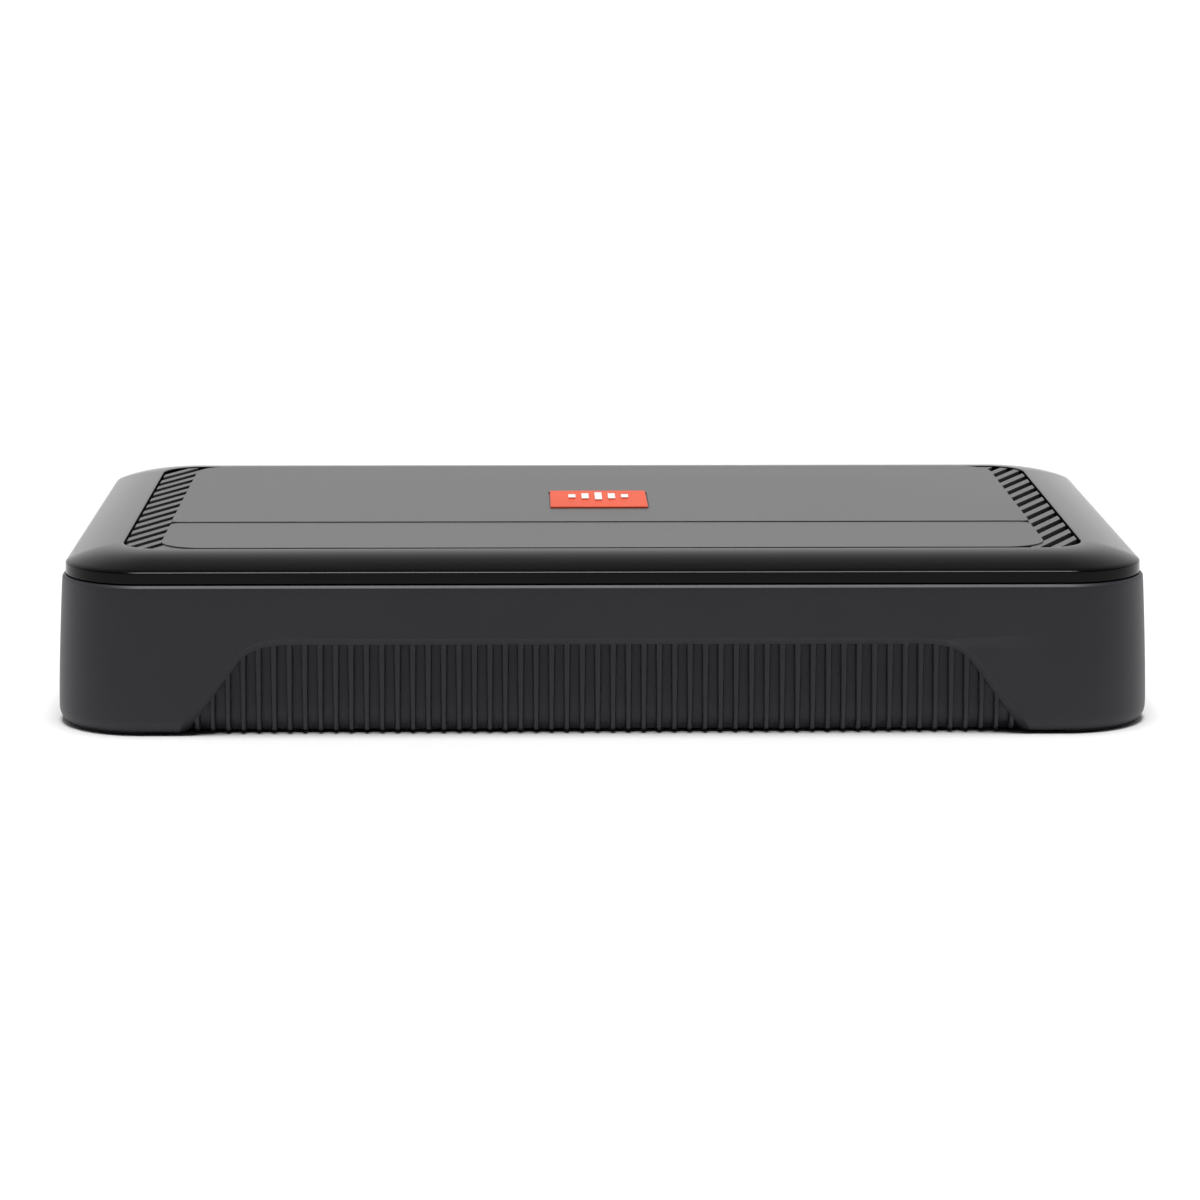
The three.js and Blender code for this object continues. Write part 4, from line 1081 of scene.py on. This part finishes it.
def make_sockets():
    """The speaker-level plug socket and the modular socket of the bass remote."""
    a, b = span("speaker_level_socket")
    y, bay = (a.y + b.y) / 2, Shells().box(-164, -154, a.y + 1.4, b.y - 1.4, a.z + 1.4, b.z - 1.4)
    key = [Shells().box(-164, -157, y + dy - 0.8, y + dy + 0.8, b.z - 1.5, b.z + 1) for dy in (-3, 3)]
    piece(
        "speaker_level_shroud", boxed(a, b), "case", "white_plastic", ["speaker_level_socket"],
        edge=0.3, cutters=[bay] + key)
    pins = Shells()
    for dy in (-3.75, -1.25, 1.25, 3.75):
        pins.box(-161.2, -154.2, y + dy - 0.35, y + dy + 0.35, 15.0, 15.7)
    piece("speaker_level_pins", pins, "case", "nickel_plate", edge=0.12)

    a, b = span("remote_bass_socket")
    y, bay = (a.y + b.y) / 2, Shells().box(-164, -152, a.y + 1.4, b.y - 1.4, a.z + 1.4, b.z - 1.4)
    latch = Shells().box(-164, -153, y - 2.4, y + 2.4, a.z + 0.5, a.z + 1.5)
    piece(
        "remote_bass_moulding", boxed(a, b), "case", "connector_black", ["remote_bass_socket"],
        edge=0.3, cutters=[bay, latch])
    wires = Shells()
    for k in range(6):
        turn = at(-161.4, y - 2.55 + 1.02 * k, b.z - 1.7) @ Matrix.Rotation(math.radians(24), 4, "Y")
        wires.box(0, 7.0, -0.17, 0.17, -0.17, 0.17, turn)
    piece("remote_bass_contacts", wires, "case", "nickel_plate", finish="gold_plate")


def make_knob(node):
    """A fluted knob with a chamfered face and a raised pointer."""
    c = centre(node)
    place = along_x(span(node)[1].x, c.y, c.z, -1)
    flutes, loops = 18, []
    skirt = [(0, 3.5, 0), (0.2, 3.6, 0), (0.7, 3.6, 0)]
    grip = [(0.9, 3.6, 0.3), (3.8, 3.55, 0.3), (4.0, 3.45, 0.2), (4.45, 3.05, 0), (4.6, 2.8, 0)]
    for z, r, depth in skirt + grip:
        loop = []
        for k in range(flutes * 6):
            a = 2 * math.pi * k / (flutes * 6)
            dip = depth * max(0.0, math.cos(a * flutes)) ** 1.5
            loop.append(((r - dip) * math.cos(a), (r - dip) * math.sin(a), z))
        loops.append(loop)
    groove = Shells().box(-2.6, 2.6, -0.5, 0.5, 3.9, 6, place)
    body = Shells().loft(loops, turn=place)
    piece(node + "_grip", body, node, "knob_black", [node], cutters=[groove], angle=40)
    pointer = Shells().box(-2.55, -0.3, -0.3, 0.3, 3.85, 4.5, place)
    piece(node + "_pointer", pointer, node, "white_plastic", edge=0.08)
    pot = node.replace("knob", "potentiometer")
    low, high = span(pot)
    can = Shells().box(low.x + 2.2, high.x, low.y, high.y, low.z, high.z)
    can.box(low.x, low.x + 2.0, low.y + 0.6, high.y - 0.6, low.z + 0.6, high.z - 0.6)
    for dy in (-3, 3):
        can.box(low.x + 0.4, low.x + 2.4, c.y + dy - 0.9, c.y + dy + 0.9, low.z + 0.1, high.z - 0.1)
    piece(pot + "_can", can, "case", "bare_steel", [pot], edge=0.2)


def make_slider(label):
    """A small ribbed slider in a steel switch frame."""
    low, high = span(label + "_slider")
    y = (low.y + high.y) / 2
    shells = Shells().box(low.x + 0.9, high.x, low.y, high.y, low.z, high.z)
    for dy in (-1.35, -0.45, 0.45, 1.35):
        shells.box(low.x, low.x + 1.1, y + dy - 0.2, y + dy + 0.2, low.z + 0.25, high.z - 0.25)
    slider = label + "_slider"
    piece(slider + "_cap", shells, slider, "white_plastic", [slider], edge=0.12)
    low, high = span(label + "_switch")
    slot_cut = Shells().box(low.x - 1, low.x + 0.9, y - 4.6, y + 4.6, 14.7, 19.3)
    switch = label + "_switch"
    piece(
        switch + "_frame", boxed(low, high), "case", "bare_steel", [switch],
        edge=0.25, cutters=[slot_cut])
    track = Shells().box(low.x + 0.75, low.x + 0.95, y - 4.5, y + 4.5, 14.8, 19.2)
    piece(switch + "_track", track, "case", "connector_black")


# ---------------------------------------------------------------- power end
class Terminal:
    """Shared sizes of one kind of screw terminal."""

    def __init__(self, block, labels, pocket, window, shelf, port_z, port_r, shank, head):
        self.block, self.labels = block, labels
        self.pocket, self.window, self.shelf = pocket, window, shelf
        self.port_z, self.port_r = port_z, port_r
        self.shank, self.head = shank, head


TERMINALS = (
    Terminal("power_terminal_block", ("battery", "remote", "ground"), (146, 158, 6.5), (4.4, 13.5, 25),
             (21.5, 23), 17.6, 4.3, 2.4, 3.4),
    Terminal("speaker_terminal_block", ("speaker_positive", "speaker_negative"), (149, 157, 5.0),
             (3.2, 13.1, 21.5), (19, 20.3), 16.2, 3.1, 1.8, 2.8),
)


def make_terminal(t):
    low, high = span(t.block)
    x0, x1, half = t.pocket
    cutters, shelves = [], Shells()
    places = [centre(label + "_clamp_screw") for label in t.labels]
    for c in places:
        cutters.append(Shells().box(x0, x1, c.y - half, c.y + half, t.window[1] - 1.9, high.z + 2))
        depth, mouth = x0 - 1 - high.x, t.port_r + 1.1
        funnel = [(0, depth), (t.port_r, depth), (t.port_r, -1.3), (mouth, 0), (mouth, 2), (0, 2)]
        cutters.append(turned_x(funnel, high.x, c.y, t.port_z, 1, 40))
        shelves.box(low.x + 1, x1 - 1, c.y - t.window[0] + 0.4, c.y + t.window[0] - 0.4, *t.shelf)
    for a, b in zip(places, places[1:]):
        mid = (a.y + b.y) / 2
        y0, y1 = mid - 0.35, mid + 0.35
        cutters.append(Shells().box(high.x - 0.8, high.x + 1, y0, y1, low.z - 1, high.z + 1))
        cutters.append(Shells().box(low.x - 1, high.x + 1, y0, y1, high.z - 0.7, high.z + 1))
    name = t.block + "_moulding"
    piece(name, boxed(low, high), "case", "connector_black", [t.block], edge=0.35, cutters=cutters)
    piece(t.block + "_shelves", shelves, "case", "connector_black", edge=0.15)
    for label, c in zip(t.labels, places):
        make_clamp(t, label, c)


def make_clamp(t, label, c):
    cage, screw = label + "_clamp_cage", label + "_clamp_screw"
    low, high = span(cage)
    half, floor_z, roof_z = t.window
    wire_room = Shells().box(low.x - 1, high.x + 1, c.y - half, c.y + half, floor_z, roof_z)
    bore = rod(t.shank + 0.3, roof_z - 1, 60, 32, at(c.x, c.y, 0))
    openings = [wire_room, bore]
    piece(cage + "_body", boxed(low, high), cage, "nickel_plate", [cage], edge=0.3, cutters=openings)
    teeth = Shells()
    for k in range(5):
        x = lerp(low.x + 1.2, high.x - 1.2, k / 4)
        points = [(x - 0.5, floor_z - 0.05), (x + 0.5, floor_z - 0.05), (x, floor_z + 0.35)]
        teeth.loft([[(px, c.y + s * (half - 0.6), pz) for px, pz in points] for s in (-1, 1)])
    piece(cage + "_teeth", teeth, cage, "nickel_plate")
    low, high = span(screw)
    head_z = high.z - (3.0 if t.head > 3 else 2.4)
    profile = [(0, low.z), (t.shank - 0.5, low.z), (t.shank, low.z + 0.5)]
    z = low.z + 0.7
    while z < head_z - 1.0:
        profile += [(t.shank, z), (t.shank - 0.32, z + 0.4)]
        z += 0.8
    head, top = t.head, high.z
    profile += [(t.shank, head_z - 0.2), (t.shank, head_z), (head - 0.3, head_z), (head, head_z + 0.3)]
    profile += [(head, top - 0.5), (head - 0.35, top - 0.12), (head - 0.8, top), (0, top)]
    slot_cut = Shells().box(c.x - 5, c.x + 5, c.y - 0.5, c.y + 0.5, high.z - 1.2, high.z + 1)
    body = Shells().turned(profile, 40, at(c.x, c.y, 0))
    piece(screw + "_shank", body, screw, "nickel_plate", [screw], cutters=[slot_cut], angle=30)


def make_power_end():
    low, high = span("power_panel")
    cutters = []
    for node in ("power_terminal_block", "speaker_terminal_block", "fuse_holder"):
        a, b = span(node)
        cutters.append(Shells().box(155, 166, a.y - 0.3, b.y + 0.3, a.z - 0.3, b.z + 0.3))
    piece(
        "power_panel_sheet", boxed(low, high), "case", "panel_black", ["power_panel"],
        edge=0.25, cutters=cutters)
    marks = Shells()
    face = high.x
    for t in TERMINALS:
        top = span(t.block)[1].z
        for label in t.labels:
            y = centre(label + "_clamp_screw").y
            if label in ("battery", "speaker_positive"):
                marks.box(face - 0.02, face + 0.06, y - 0.2, y + 0.2, top + 0.9, top + 2.5)
            if label != "remote":
                marks.box(face - 0.02, face + 0.06, y - 0.8, y + 0.8, top + 1.5, top + 1.9)
    piece("power_panel_marks", marks, "case", "badge_white")
    for t in TERMINALS:
        make_terminal(t)
    make_fuses()


FUSES = ("blade_fuse_1", "blade_fuse_2")
BLADE_ZS = (21.7 - 6.4, 21.7 + 6.4)


def make_fuses():
    low, high = span("fuse_holder")
    cutters = []
    for node in FUSES:
        c = centre(node)
        cutters.append(Shells().box(152.2, high.x + 1, c.y - 3.1, c.y + 3.1, 12, 31.4))
        for z in BLADE_ZS:
            cutters.append(Shells().box(143, 153, c.y - 0.8, c.y + 0.8, z - 2.9, z + 2.9))
        cutters.append(Shells().box(high.x - 1.2, high.x + 1, c.y - 4.4, c.y + 4.4, 19, 24.4))
    piece(
        "fuse_holder_moulding", boxed(low, high), "case", "connector_black", ["fuse_holder"],
        edge=0.4, cutters=cutters)
    for node in FUSES:
        c = centre(node)
        low, high = span(node)
        z0, z1 = low.z + 0.8, high.z - 0.8
        widths = [(152.5, 2.3), (153, 2.5), (164.2, 2.5), (164.2, 1.95), (high.x - 0.3, 1.9), (high.x, 1.6)]
        shells = Shells().loft([
            [(x, c.y + sy * h, z) for sy, z in ((-1, z0), (1, z0), (1, z1), (-1, z1))]
            for x, h in widths
        ])
        grips = []
        for k in range(5):
            x = 164.6 + 0.55 * k
            for s in (-1, 1):
                ys = sorted((c.y + s * 1.75, c.y + s * 3))
                grips.append(Shells().box(x, x + 0.22, *ys, z0 - 1, z1 + 1))
        piece(node + "_body", shells, node, "fuse_amber", [node], cutters=grips, angle=30)
        blades = Shells()
        for blade_z in BLADE_ZS:
            outline = [(143.6, -2.0), (144.2, -2.5), (152.8, -2.5), (152.8, 2.5), (144.2, 2.5), (143.6, 2.0)]
            blades.loft([[(x, c.y + s * 0.4, blade_z + z) for x, z in outline] for s in (-1, 1)])
        piece(node + "_blades", blades, node, "nickel_plate", edge=0.08)


make_base()
make_inside()
make_input_end()
make_power_end()
